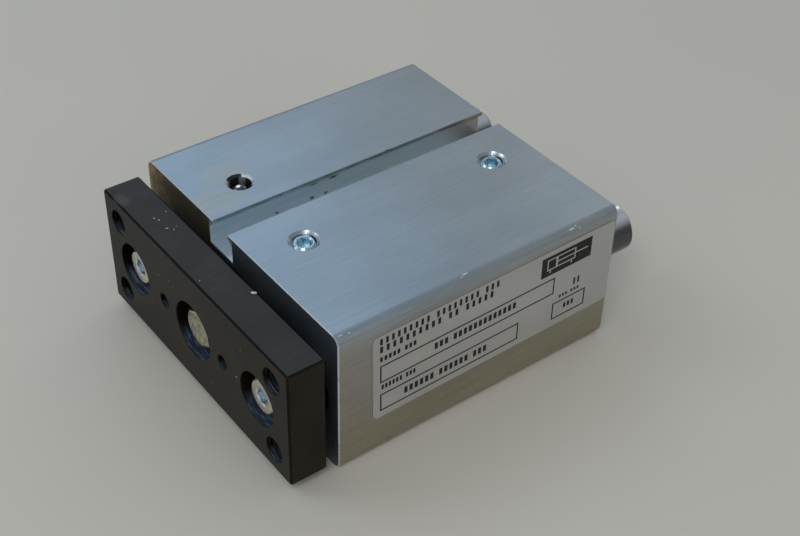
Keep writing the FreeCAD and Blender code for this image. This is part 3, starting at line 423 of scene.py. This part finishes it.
def plate_black():
    """Blackened steel plate: satin, with a painted brown reflection on its front that darkens as painted
    shade towards the -Y end, a painted blue sky reflection on top, glossy bores with painted shade and
    painted blue glints, a rub and a little dust.
    """
    f = Finish("plate_black")
    f.surface.inputs["Specular IOR Level"].default_value = 0.13
    upward = f.ramp(f.normal_z, 0.6, 0.95)
    grain = f.noise((6.0, 6.0, 6.0), detail=3.0, roughness=0.6)
    grind = f.noise((0.35, 4.5, 4.5), detail=3.0, roughness=0.6, seed=1.0)
    cloud = f.noise((0.12, 0.12, 0.12), detail=3.0, seed=2.0)
    # painted reflections: the front is brown and the top blue-grey
    brown = f.mix(f.ramp(cloud, 0.3, 0.7), (0.0085, 0.0068, 0.0036), (0.0140, 0.0110, 0.0058))
    blue = f.mix(f.ramp(cloud, 0.3, 0.7), (0.0400, 0.0420, 0.0440), (0.0500, 0.0520, 0.0540))
    # painted shade: the front darkens towards the -Y end
    brown = f.brighten(brown, f.ramp(f.y, -30.0, 5.0, 0.5, 1.5))
    colour = f.mix(upward, brown, blue)
    colour = f.brighten(colour, centred(f, grain, 0.18))
    colour = f.brighten(colour, centred(f, grind, 0.14))

    slant = f.either(f.absolute(f.normal_x), f.either(f.absolute(f.normal_y), f.absolute(f.normal_z)))
    to_edge = f.edge_closeness(
        (PLATE_BACK_X, -PLATE_HALF_WIDTH, PLATE_LOW_Z),
        (PLATE_FRONT_X, PLATE_HALF_WIDTH, PLATE_HIGH_Z),
    )
    outer = f.ramp(to_edge, 0.60, 0.40)
    bevel = f.both(f.band(slant, 0.60, 0.88, 0.04), outer)
    colour = f.mix(f.both(bevel, 0.75), colour, (0.004, 0.004, 0.004))
    nicks = f.ramp(f.noise((0.9, 0.9, 0.9), detail=4.0, seed=3.0), 0.62, 0.72)
    colour = f.mix(f.both(f.both(outer, nicks), 0.30), colour, (0.11, 0.10, 0.085))
    rub = f.spot((40.4, -26.6, 28.0), (1.7, 2.6, 1.3), ragged=1.0)
    colour = f.mix(f.both(rub, 0.40), colour, (0.13, 0.115, 0.10))

    dust = f.specks(cell=1.5, radius=0.10, share=0.05, seed=2.0)
    dusty = f.ramp(f.noise((0.16, 0.16, 0.16), detail=2.0, seed=4.0), 0.45, 0.62)
    dust = f.either(f.both(f.both(dust, dusty), 0.6), f.spots(FRONT_SPECKS))
    colour = f.mix(dust, colour, (0.45, 0.42, 0.35))

    away_from_ends = f.ramp(f.absolute(f.y), PLATE_HALF_WIDTH - 1.0, PLATE_HALF_WIDTH - 1.4)
    away_from_skin = f.both(away_from_ends, f.band(f.z, PLATE_LOW_Z + 1.2, PLATE_HIGH_Z - 1.2, 0.2))
    inside = f.both(f.ramp(f.absolute(f.normal_x), 0.6, 0.3), away_from_skin)
    turned = f.noise((3.2, 0.25, 0.25), detail=3.0, roughness=0.6, seed=5.0)
    # painted blue glints on the upward-facing bore walls
    painted_wall_glint = f.both(inside, f.ramp(f.normal_z, 0.35, 0.85))
    # painted shade: the bores are darker
    colour = f.brighten(colour, f.ramp(inside, 0.0, 1.0, 1.0, 0.6))
    wall_glint_colour = f.mix(f.ramp(turned, 0.50, 0.62), (0.035, 0.050, 0.078), (0.13, 0.18, 0.26))
    colour = f.mix(f.both(painted_wall_glint, 0.85), colour, wall_glint_colour)
    roughness = f.plus(0.38, f.both(f.minus(grain, 0.5), 0.20))
    roughness = f.plus(roughness, f.both(f.either(dust, bevel), 0.3))
    roughness = f.both(roughness, f.ramp(inside, 0.0, 1.0, 1.0, 0.80))
    height = f.plus(grain, f.both(grind, 0.6))
    height = f.plus(height, f.both(f.both(turned, inside), 5.0))
    return f.done(colour, roughness, height, relief=0.008)


def ground_steel(name, colour, roughness, lines_per_mm, relief, painted_top_sheen=None):
    """A shaft ground or turned about the X axis: its marks run round it. Its upper side may carry a painted
    highlight.
    """
    f = Finish(name, metallic=1.0)
    rings = f.noise((lines_per_mm, 0.06, 0.06), detail=3.0, roughness=0.7)
    smear = f.noise((0.15, 0.5, 0.5), detail=3.0, seed=1.0)
    # painted highlight along the upper side of the shaft
    tone = f.mix(f.ramp(f.normal_z, 0.52, 0.86), colour, painted_top_sheen or colour)
    tone = f.brighten(tone, centred(f, rings, 0.06))
    tone = f.brighten(tone, centred(f, smear, 0.08))
    rough = f.plus(roughness, f.both(f.minus(smear, 0.5), 0.18))
    return f.done(tone, rough, rings, relief=relief)


def turned_face(name, colour, roughness):
    """A part turned about the cylinder's axis: fine circles on its faces and lines round its sides."""
    f = Finish(name, metallic=1.0)
    radius = f.radius_about_x(0.0, AXIS_Z)
    circles = f.noise((5.0, 3.0, 0.0), detail=3.0, roughness=0.6, place=f.join(radius, f.x, 0.0))
    cloud = f.noise((0.2, 0.2, 0.2), detail=2.0, seed=1.0)
    tone = f.brighten(colour, centred(f, circles, 0.10))
    tone = f.brighten(tone, centred(f, cloud, 0.08))
    rough = f.plus(roughness, f.both(f.minus(circles, 0.5), 0.2))
    return f.done(tone, rough, circles, relief=0.010)


def plated(name, colour, roughness, blotch, relief, painted_socket_sheen=None, painted_highlight=None):
    """Bright steel, softly uneven, with small nicks; it may add a painted pale sheen in a socket and a
    painted highlight spot.
    """
    f = Finish(name, metallic=1.0)
    skin = f.noise((1.6, 1.6, 1.6), detail=4.0, roughness=0.6)
    cloud = f.noise((0.5, 0.5, 0.5), detail=2.0, seed=1.0)
    nicks = f.specks(cell=0.9, radius=0.11, share=0.16, seed=1.0)
    tone = f.brighten(f.mix(f.ramp(cloud, 0.3, 0.7), colour, blotch), centred(f, skin, 0.12))
    tone = f.mix(f.both(nicks, 0.6), tone, (0.20, 0.19, 0.17))
    # painted sheen in the socket of a cap screw
    if painted_socket_sheen:
        offset = f.join(0.0, f.minus(f.absolute(f.y), GUIDE_Y), f.minus(f.z, AXIS_Z))
        near_axis = f.ramp(f.vector("LENGTH", offset), 2.0, 1.9)
        in_socket = f.both(near_axis, f.ramp(f.x, CAP_HEAD_X - 0.02, CAP_HEAD_X - 0.12))
        tone = f.mix(in_socket, tone, painted_socket_sheen)
    # painted highlight spot
    if painted_highlight:
        tone = f.mix(f.spot(*painted_highlight), tone, (0.95, 0.97, 1.0))
    rough = f.plus(roughness, f.both(f.minus(skin, 0.5), 0.25))
    height = f.minus(skin, nicks)
    return f.done(tone, rough, height, relief=relief)


def galled_bolt():
    """The hexagon head in the middle of the plate: dull silver, scuffed by a spanner and by knocks, with a
    painted highlight on its bevel.
    """
    f = Finish("screw_steel", metallic=0.92)
    lumps = f.noise((0.75, 0.75, 0.75), detail=4.0, roughness=0.62)
    scuffs = f.noise((0.5, 3.2, 0.7), detail=4.0, roughness=0.7, seed=1.0)
    colour = f.mix(f.ramp(lumps, 0.42, 0.58), (0.34, 0.33, 0.24), (0.56, 0.545, 0.41))
    colour = f.brighten(colour, centred(f, scuffs, 0.22))
    stain_and_shade = f.ramp(f.noise((0.9, 0.9, 0.9), detail=3.0, seed=2.0), 0.60, 0.72)
    colour = f.mix(f.both(stain_and_shade, 0.6), colour, (0.14, 0.12, 0.08))
    # painted highlight on the bevel of the head
    bevel = f.band(f.normal_x, 0.35, 0.93, 0.05)
    colour = f.mix(f.both(bevel, 0.7), colour, (0.72, 0.72, 0.68))
    roughness = f.minus(f.ramp(scuffs, 0.3, 0.7, 0.28, 0.5), f.both(bevel, 0.12))
    height = f.plus(lumps, f.both(scuffs, 0.35))
    return f.done(colour, roughness, height, relief=0.12)


def soft_material(name, light, dark, roughness, cycles, relief):
    """A moulded or woven non-metal, mottled at its own scale."""
    f = Finish(name)
    mottle = f.noise((cycles, cycles, cycles), detail=4.0, roughness=0.6)
    cloud = f.noise((0.3, 0.3, 0.3), detail=2.0, seed=1.0)
    colour = f.mix(f.ramp(mottle, 0.3, 0.7), dark, light)
    colour = f.brighten(colour, centred(f, cloud, 0.1))
    rough = f.ramp(mottle, 0.2, 0.8, roughness - 0.08, roughness + 0.08)
    return f.done(colour, rough, mottle, relief=relief)


def label_film():
    """Silver-grey polyester film, satin, with faint handling marks."""
    f = Finish("label_foil", metallic=0.25)
    grain = f.noise((7.0, 7.0, 7.0), detail=2.0)
    cloud = f.noise((0.07, 0.07, 0.12), detail=3.0, seed=1.0)
    colour = f.brighten((0.475, 0.465, 0.450), centred(f, cloud, 0.06))
    colour = f.brighten(colour, centred(f, grain, 0.04))
    rough = f.ramp(cloud, 0.3, 0.7, 0.34, 0.44)
    return f.done(colour, rough, grain, relief=0.003)


def label_ink():
    """Black printing ink, a little uneven where the film shows through."""
    f = Finish("label_ink")
    f.surface.inputs["Specular IOR Level"].default_value = 0.18
    wear = f.ramp(f.noise((3.5, 3.5, 3.5), detail=3.0), 0.45, 0.75)
    colour = f.mix(f.both(wear, 0.25), (0.012, 0.011, 0.011), (0.10, 0.10, 0.095))
    return f.done(colour, f.ramp(wear, 0.0, 1.0, 0.42, 0.5))


def dust_white():
    """Pale, fibrous chip of dust."""
    f = Finish("dust_white")
    fibre = f.noise((4.0, 4.0, 4.0), detail=3.0)
    colour = f.mix(f.ramp(fibre, 0.3, 0.7), (0.62, 0.60, 0.54), (0.80, 0.79, 0.74))
    return f.done(colour, 0.75, fibre, relief=0.05)


def floor_finish():
    """Pale matt floor with a faint unevenness."""
    f = Finish("floor")
    cloud = f.noise((0.01, 0.01, 0.01), detail=3.0)
    colour = f.brighten(FLOOR_COLOUR, centred(f, cloud, 0.015))
    return f.done(colour, 0.85)


def make_finishes():
    """The finish of each material slot."""
    return {
        "body_aluminium": body_aluminium(),
        "plate_black": plate_black(),
        "turned_aluminium": turned_face("turned_aluminium", (0.56, 0.57, 0.58), 0.30),
        "bush_bronze": turned_face("bush_bronze", (0.46, 0.31, 0.14), 0.42),
        # guide rods: a dark base standing in for the dark surroundings they mirror, and a painted highlight
        # on top
        "rod_chrome": ground_steel("rod_chrome", (0.115, 0.12, 0.12), 0.14, 9.0, 0.003, (0.82, 0.88, 0.92)),
        "spring_steel": ground_steel("spring_steel", (0.16, 0.16, 0.165), 0.38, 3.0, 0.008),
        # the ball carries a painted highlight spot
        "ball_steel": plated(
            "ball_steel", (0.15, 0.155, 0.17), 0.22, (0.12, 0.125, 0.135), 0.002, painted_highlight=BALL_HIGHLIGHT_SPOT
        ),
        "plug_zinc": plated("plug_zinc", (0.56, 0.73, 0.81), 0.22, (0.47, 0.66, 0.75), 0.020),
        # cap screws: a painted pale sheen in their sockets
        "screw_plated": plated(
            "screw_plated", (0.74, 0.72, 0.61), 0.28, (0.62, 0.61, 0.54), 0.030, (0.78, 0.88, 0.94)
        ),
        "screw_steel": galled_bolt(),
        "seal_rubber": soft_material(
            "seal_rubber", (0.030, 0.030, 0.031), (0.017, 0.017, 0.018), 0.5, 3.0, 0.010
        ),
        "bumper_polyurethane": soft_material(
            "bumper_polyurethane", (0.33, 0.20, 0.06), (0.24, 0.13, 0.03), 0.42, 1.5, 0.008
        ),
        "wiper_felt": soft_material(
            "wiper_felt", (0.16, 0.15, 0.13), (0.07, 0.065, 0.055), 0.9, 5.0, 0.12
        ),
        "magnet_rubber": soft_material(
            "magnet_rubber", (0.055, 0.050, 0.047), (0.03, 0.028, 0.026), 0.6, 4.0, 0.01
        ),
        "wear_plastic": soft_material(
            "wear_plastic", (0.13, 0.10, 0.07), (0.09, 0.07, 0.05), 0.4, 2.0, 0.006
        ),
        "label_foil": label_film(),
    }


def place_camera():
    """The camera of the photograph: its place, turn and angle of view."""
    camera = bpy.data.objects.new("camera", bpy.data.cameras.new("camera"))
    bpy.context.scene.collection.objects.link(camera)
    camera.data.sensor_width = SENSOR_WIDTH
    camera.data.lens = SENSOR_WIDTH * FOCAL_LENGTH_PIXELS / PHOTO_WIDTH
    camera.data.clip_start = 0.01
    camera.data.clip_end = 20.0
    sight = Vector(CAMERA_TARGET) - Vector(CAMERA_PLACE)
    level = sight.to_track_quat("-Z", "Y").to_matrix()
    turned = level @ Matrix.Rotation(math.radians(CAMERA_ROLL_DEGREES), 3, "Z")
    camera.location = CAMERA_PLACE
    camera.rotation_euler = turned.to_euler()
    bpy.context.scene.camera = camera


def place_light():
    """Even world light and soft panels."""
    world = bpy.data.worlds.new("studio")
    world.use_nodes = True
    background = world.node_tree.nodes["Background"]
    background.inputs["Color"].default_value = (*WORLD_COLOUR, 1.0)
    background.inputs["Strength"].default_value = WORLD_STRENGTH
    bpy.context.scene.world = world
    bpy.context.scene.view_settings.view_transform = "Standard"
    for name, place, target, (width, depth), watts, colour in LAMPS:
        data = bpy.data.lights.new(name, "AREA")
        data.shape = "RECTANGLE"
        data.size, data.size_y = width, depth
        data.energy = watts
        data.color = colour
        lamp = bpy.data.objects.new(name, data)
        bpy.context.scene.collection.objects.link(lamp)
        lamp.location = place
        lamp.rotation_euler = (Vector(target) - Vector(place)).to_track_quat("-Z", "Y").to_euler()


def new_piece(name, mesh, material, body=None):
    """Links a mesh as an object and, unless it is part of the stage, makes it ride on its body."""
    piece = bpy.data.objects.new(name, mesh)
    mesh.materials.append(material)
    bpy.context.scene.collection.objects.link(piece)
    if body:
        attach(piece, body)
    return piece


def place_floor():
    """A plain floor under the block."""
    mesh = bpy.data.meshes.new("floor")
    half = FLOOR_SIZE / 2
    corners = [(-half, -half, 0), (half, -half, 0), (half, half, 0), (-half, half, 0)]
    mesh.from_pydata(corners, [], [(0, 1, 2, 3)])
    new_piece("floor", mesh, floor_finish())


THREAD_PITCH = 0.8
THREAD_DEPTH = 0.40
THREAD_STEPS = 40
THREAD_ROOT_OVERLAP = 0.03
THREAD_FADE_STEPS = 14
# Half widths of the ridge at its root and crest, as shares of the pitch
RIDGE_ROOT_SHARE, RIDGE_CREST_SHARE = 0.44, 0.05


def thread_mesh(name, mouth, inward, radius, start, length):
    """The ridge of an internal thread: a wedge that winds along the hole from start to start + length."""
    axis = Vector(inward).normalized()
    side = axis.orthogonal().normalized()
    across = axis.cross(side)
    turns = (length - THREAD_PITCH) / THREAD_PITCH
    steps = int(turns * THREAD_STEPS)
    root = radius + THREAD_ROOT_OVERLAP
    crest = radius - THREAD_DEPTH
    profile = (
        (root, -RIDGE_ROOT_SHARE),
        (crest, -RIDGE_CREST_SHARE),
        (crest, RIDGE_CREST_SHARE),
        (root, RIDGE_ROOT_SHARE),
    )
    verts, faces = [], []
    for step in range(steps + 1):
        angle = 2 * math.pi * step / THREAD_STEPS
        along = start + THREAD_PITCH / 2 + THREAD_PITCH * step / THREAD_STEPS
        fade = min(1.0, step / THREAD_FADE_STEPS, (steps - step) / THREAD_FADE_STEPS)
        outward = side * math.cos(angle) + across * math.sin(angle)
        for reach, offset in profile:
            reach = root + (reach - root) * fade
            verts.append((Vector(mouth) + axis * (along + offset * THREAD_PITCH) + outward * reach) * MM)
    count = len(profile)
    for step in range(steps):
        for k in range(count):
            a, b = step * count + k, step * count + (k + 1) % count
            faces.append((a, b, b + count, a + count))
    faces.append(tuple(range(count)))
    faces.append(tuple(steps * count + k for k in reversed(range(count))))
    mesh = bpy.data.meshes.new(name)
    mesh.from_pydata(verts, [], faces)
    tidy = bmesh.new()
    tidy.from_mesh(mesh)
    bmesh.ops.recalc_face_normals(tidy, faces=tidy.faces)
    tidy.to_mesh(mesh)
    tidy.free()
    for polygon in mesh.polygons:
        polygon.use_smooth = len(polygon.vertices) == 4 and polygon.index < steps * count
    return mesh


def mount_named(name):
    """A mount of the record, by its name."""
    return next(m for m in frame["record"]["mounts"] if m["name"] == name)


def pattern_places(name):
    """The hole centres of a bolt pattern in millimetres: its spacings run across its axis."""
    mount = mount_named(name)
    dims = mount["dims"]
    x, y, z = (value / MM for value in mount["pos_m"])
    half_first = dims["spacing_x_mm"] / 2
    half_second = dims.get("spacing_y_mm", 0.0) / 2
    if abs(mount["axis"][0]) > 0.5:
        return [(x, y + i * half_first, z + j * half_second) for i in (-1, 1) for j in (-1, 1)]
    return [(x + i * half_first, y + j * half_second, z) for i in (-1, 1) for j in (-1, 1)]


PLATE_HOLE_DEPTH = PLATE_FRONT_X - PLATE_BACK_X
BASE_HOLE_DEPTH = 9.0
BASE_THREAD_SPARE = 1.2
SIDE_PORT_DEPTH = 5.6
SIDE_PORT_CHAMFER = 0.5
SIDE_THREAD_SPARE = 0.8
TOP_THREAD_START = 0.1
TOP_THREAD_LENGTH = 1.7
MOUTH_CHAMFER = 0.25


def make_threads(finishes):
    """Thread ridges in the bolt holes of plate and base, in the side ports and over the top plugs."""
    radius = mount_named("plate_bolts")["dims"]["hole_r_mm"]

    def add(name, mouth, inward, start, length, host):
        body, slot = host
        mesh = thread_mesh(name, mouth, inward, radius, start, length)
        new_piece(name, mesh, finishes[slot], body)

    plate = ("carriage", "plate_black")
    block = ("body", "body_aluminium")
    plate_length = PLATE_HOLE_DEPTH - 2 * MOUTH_CHAMFER
    for number, (_, y, z) in enumerate(pattern_places("plate_bolts"), 1):
        mouth = (PLATE_FRONT_X, y, z)
        add(f"plate_thread_{number}", mouth, (-1, 0, 0), MOUTH_CHAMFER, plate_length, plate)
    base_length = BASE_HOLE_DEPTH - BASE_THREAD_SPARE
    for number, (x, y, _) in enumerate(pattern_places("base_bolts"), 1):
        mouth = (x, y, 0.0)
        add(f"base_thread_{number}", mouth, (0, 0, 1), MOUTH_CHAMFER, base_length, block)
    side_length = SIDE_PORT_DEPTH - SIDE_THREAD_SPARE
    for end, x in zip(("front", "rear"), PORT_X):
        mouth = (x, -BLOCK_HALF_WIDTH, SIDE_PORT_Z)
        add(f"side_port_thread_{end}", mouth, (0, 1, 0), SIDE_PORT_CHAMFER, side_length, block)
        mouth = (x, PORT_Y, BLOCK_TOP_Z)
        add(f"top_port_thread_{end}", mouth, (0, 0, -1), TOP_THREAD_START, TOP_THREAD_LENGTH, block)


GROUP_GAP = 0.75
THIN_SHARE, BOLD_SHARE = 0.46, 0.64
FRAMES = (
    # left, right, low and high in millimetres
    (-26.5, 13.6, -1.35, 2.70),
    (-26.5, 5.25, -8.15, -4.05),
    (13.6, 21.95, -7.95, -3.85),
)
BLOCK_ROWS = (
    # left, right, low and high in millimetres, blocks in each group, and how much of its pitch a block fills
    (-26.5, 0.4, 7.55, 9.00, (9, 8, 3), THIN_SHARE),
    (-26.5, -0.8, 5.75, 7.20, (10, 2, 5), THIN_SHARE),
    (-26.5, -18.4, 3.65, 4.75, (5, 3), BOLD_SHARE),
    (-26.2, -18.5, -3.00, -1.90, (6, 3), BOLD_SHARE),
    (-14.6, 4.6, 0.15, 1.60, (3, 13), BOLD_SHARE),
    (-21.2, -2.0, -6.80, -5.30, (6, 6, 3), BOLD_SHARE),
    (15.1, 20.4, -3.10, -2.40, (3, 3), BOLD_SHARE),
    (16.5, 19.4, -6.30, -5.10, (3,), BOLD_SHARE),
    (18.5, 20.6, -1.50, 0.10, (2,), THIN_SHARE),
)
# The circuit symbol and the black field behind it, in millimetres
SYMBOL_FIELD = (9.95, 22.3, 3.85, 8.5)
SYMBOL_LINE = 0.28
SYMBOL_BARREL = (11.3, 18.3, 5.15, 7.75)
SYMBOL_PISTON = (13.4, 13.9)
SYMBOL_ROD_LOW, SYMBOL_ROD_END = 6.31, 21.3
SYMBOL_PORTS, SYMBOL_PORT_LOW = (12.0, 17.2), 4.45


def frame_bars(left, right, low, high, line=FRAME_LINE):
    """The four strips of a rectangular frame, none over another."""
    return [
        (left, right, high - line, high),
        (left, right, low, low + line),
        (left, left + line, low + line, high - line),
        (right - line, right, low + line, high - line),
    ]


def block_row(left, right, low, high, groups, share):
    """A row of plain solid blocks in groups; share is how much of its pitch a block fills."""
    pitch = (right - left) / (sum(groups) + GROUP_GAP * (len(groups) - 1))
    bars = []
    for count in groups:
        for _ in range(count):
            bars.append((left, left + share * pitch, low, high))
            left += pitch
        left += GROUP_GAP * pitch
    return bars


def print_bars():
    """Everything printed in black: frames, rows of plain blocks and the field behind the symbol."""
    bars = []
    for place in FRAMES:
        bars += frame_bars(*place)
    for row in BLOCK_ROWS:
        bars += block_row(*row)
    bars.append(SYMBOL_FIELD)
    return bars


def symbol_bars():
    """The circuit symbol of a cylinder, left clear in its black field."""
    left, right, low, high = SYMBOL_BARREL
    piston_left, piston_right = SYMBOL_PISTON
    line = SYMBOL_LINE
    rod_high = SYMBOL_ROD_LOW + line
    bars = frame_bars(left, right, low, high, line)
    bars.append((piston_left, piston_right, low + line, high - line))
    bars.append((piston_right, right - line, SYMBOL_ROD_LOW, rod_high))
    bars.append((right, SYMBOL_ROD_END, SYMBOL_ROD_LOW, rod_high))
    for port in SYMBOL_PORTS:
        bars.append((port, port + line, SYMBOL_PORT_LOW, low))
    return bars


def rounded_outline(width, height, radius, steps=8):
    """Corner points of a rounded rectangle around the origin, anticlockwise."""
    points = []
    for sx, sy, first in ((1, 1, 0), (-1, 1, 90), (-1, -1, 180), (1, -1, 270)):
        for step in range(steps + 1):
            angle = math.radians(first + 90 * step / steps)
            points.append((
                sx * (width / 2 - radius) + radius * math.cos(angle),
                sy * (height / 2 - radius) + radius * math.sin(angle),
            ))
    return points


def add_bars(sheet, bars, height, material_index):
    """Thin flat prints at a height over the film."""
    for left, right, low, high in bars:
        corners = ((left, low), (right, low), (right, high), (left, high))
        face = sheet.faces.new([sheet.verts.new((u, v, height)) for u, v in corners])
        face.material_index = material_index


def make_label(finishes):
    """The label: a sheet of film, with its black print and the clear symbol as thin layers on it."""
    low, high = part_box("type_label")
    centre = (low + high) / 2
    sheet = bmesh.new()
    outline = rounded_outline(LABEL_WIDTH, LABEL_HEIGHT, LABEL_CORNER_RADIUS)
    front = sheet.faces.new([sheet.verts.new((u, v, 0.0)) for u, v in outline])
    back = bmesh.ops.extrude_face_region(sheet, geom=[front], use_keep_orig=True)["geom"]
    for vert in (v for v in back if isinstance(v, bmesh.types.BMVert)):
        vert.co.z = -FILM_THICKNESS
    bmesh.ops.recalc_face_normals(sheet, faces=sheet.faces)
    add_bars(sheet, print_bars(), INK_THICKNESS, 1)
    add_bars(sheet, symbol_bars(), 2 * INK_THICKNESS, 0)
    turn = Matrix.Rotation(math.radians(LABEL_TURN_DEGREES), 4, "Z")
    upright = Matrix(((-1, 0, 0, 0), (0, 0, 1, 0), (0, 1, 0, 0), (0, 0, 0, 1)))
    sheet.transform(Matrix.Scale(MM, 4) @ upright @ turn)
    mesh = bpy.data.meshes.new("type_label_print")
    sheet.to_mesh(mesh)
    sheet.free()
    mesh.transform(Matrix.Translation((centre.x, high.y - 2 * INK_THICKNESS * MM, centre.z)))
    piece = new_piece("type_label_print", mesh, finishes["label_foil"], "body")
    mesh.materials.append(label_ink())
    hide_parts("type_label")


FLAKE_SINK = 0.02
FLAKE_ROUGHNESS = 0.22
FLAKE_THICKNESS_SHARE = 0.6
FLAKES = (
    # place on the top of the plate (x, y), length and width in millimetres, turn in degrees
    (34.70, 10.75, 1.15, 0.55, 140),
    (38.28, -18.01, 0.34, 0.22, 150),
    (37.83, -17.02, 0.42, 0.20, 120),
    (35.48, -18.63, 0.26, 0.18, 40),
    (37.83, -13.98, 0.58, 0.22, 145),
    (36.99, -12.92, 0.28, 0.16, 75),
    (36.10, -13.60, 0.18, 0.14, 20),
    (40.60, 2.43, 0.26, 0.18, 60),
)


def make_flakes():
    """Chips of pale dust that lie on top of the plate."""
    chance = random.Random(16)
    chips = bmesh.new()
    for x, y, length, width, degrees in FLAKES:
        chip = bmesh.ops.create_icosphere(chips, subdivisions=2, radius=0.5)["verts"]
        for vert in chip:
            vert.co *= 1 + chance.uniform(-FLAKE_ROUGHNESS, FLAKE_ROUGHNESS)
            vert.co.x *= length
            vert.co.y *= width
            vert.co.z *= min(length, width) * FLAKE_THICKNESS_SHARE
        lowest = min(v.co.z for v in chip)
        turn = Matrix.Rotation(math.radians(degrees), 4, "Z")
        shift = Matrix.Translation((x, y, PLATE_HIGH_Z - lowest - FLAKE_SINK))
        bmesh.ops.transform(chips, matrix=shift @ turn, verts=chip)
    chips.transform(Matrix.Scale(MM, 4))
    mesh = bpy.data.meshes.new("dust_flakes")
    chips.to_mesh(mesh)
    chips.free()
    new_piece("dust_flakes", mesh, dust_white(), "carriage")


def dress_nodes(finishes):
    """Gives every CAD node the finish of its own material slot."""
    for node in frame["nodes"].values():
        for place in node.material_slots:
            place.material = finishes[place.material.name.split(".")[0]]


place_camera()
place_light()
place_floor()
finishes = make_finishes()
dress_nodes(finishes)
make_threads(finishes)
make_label(finishes)
make_flakes()
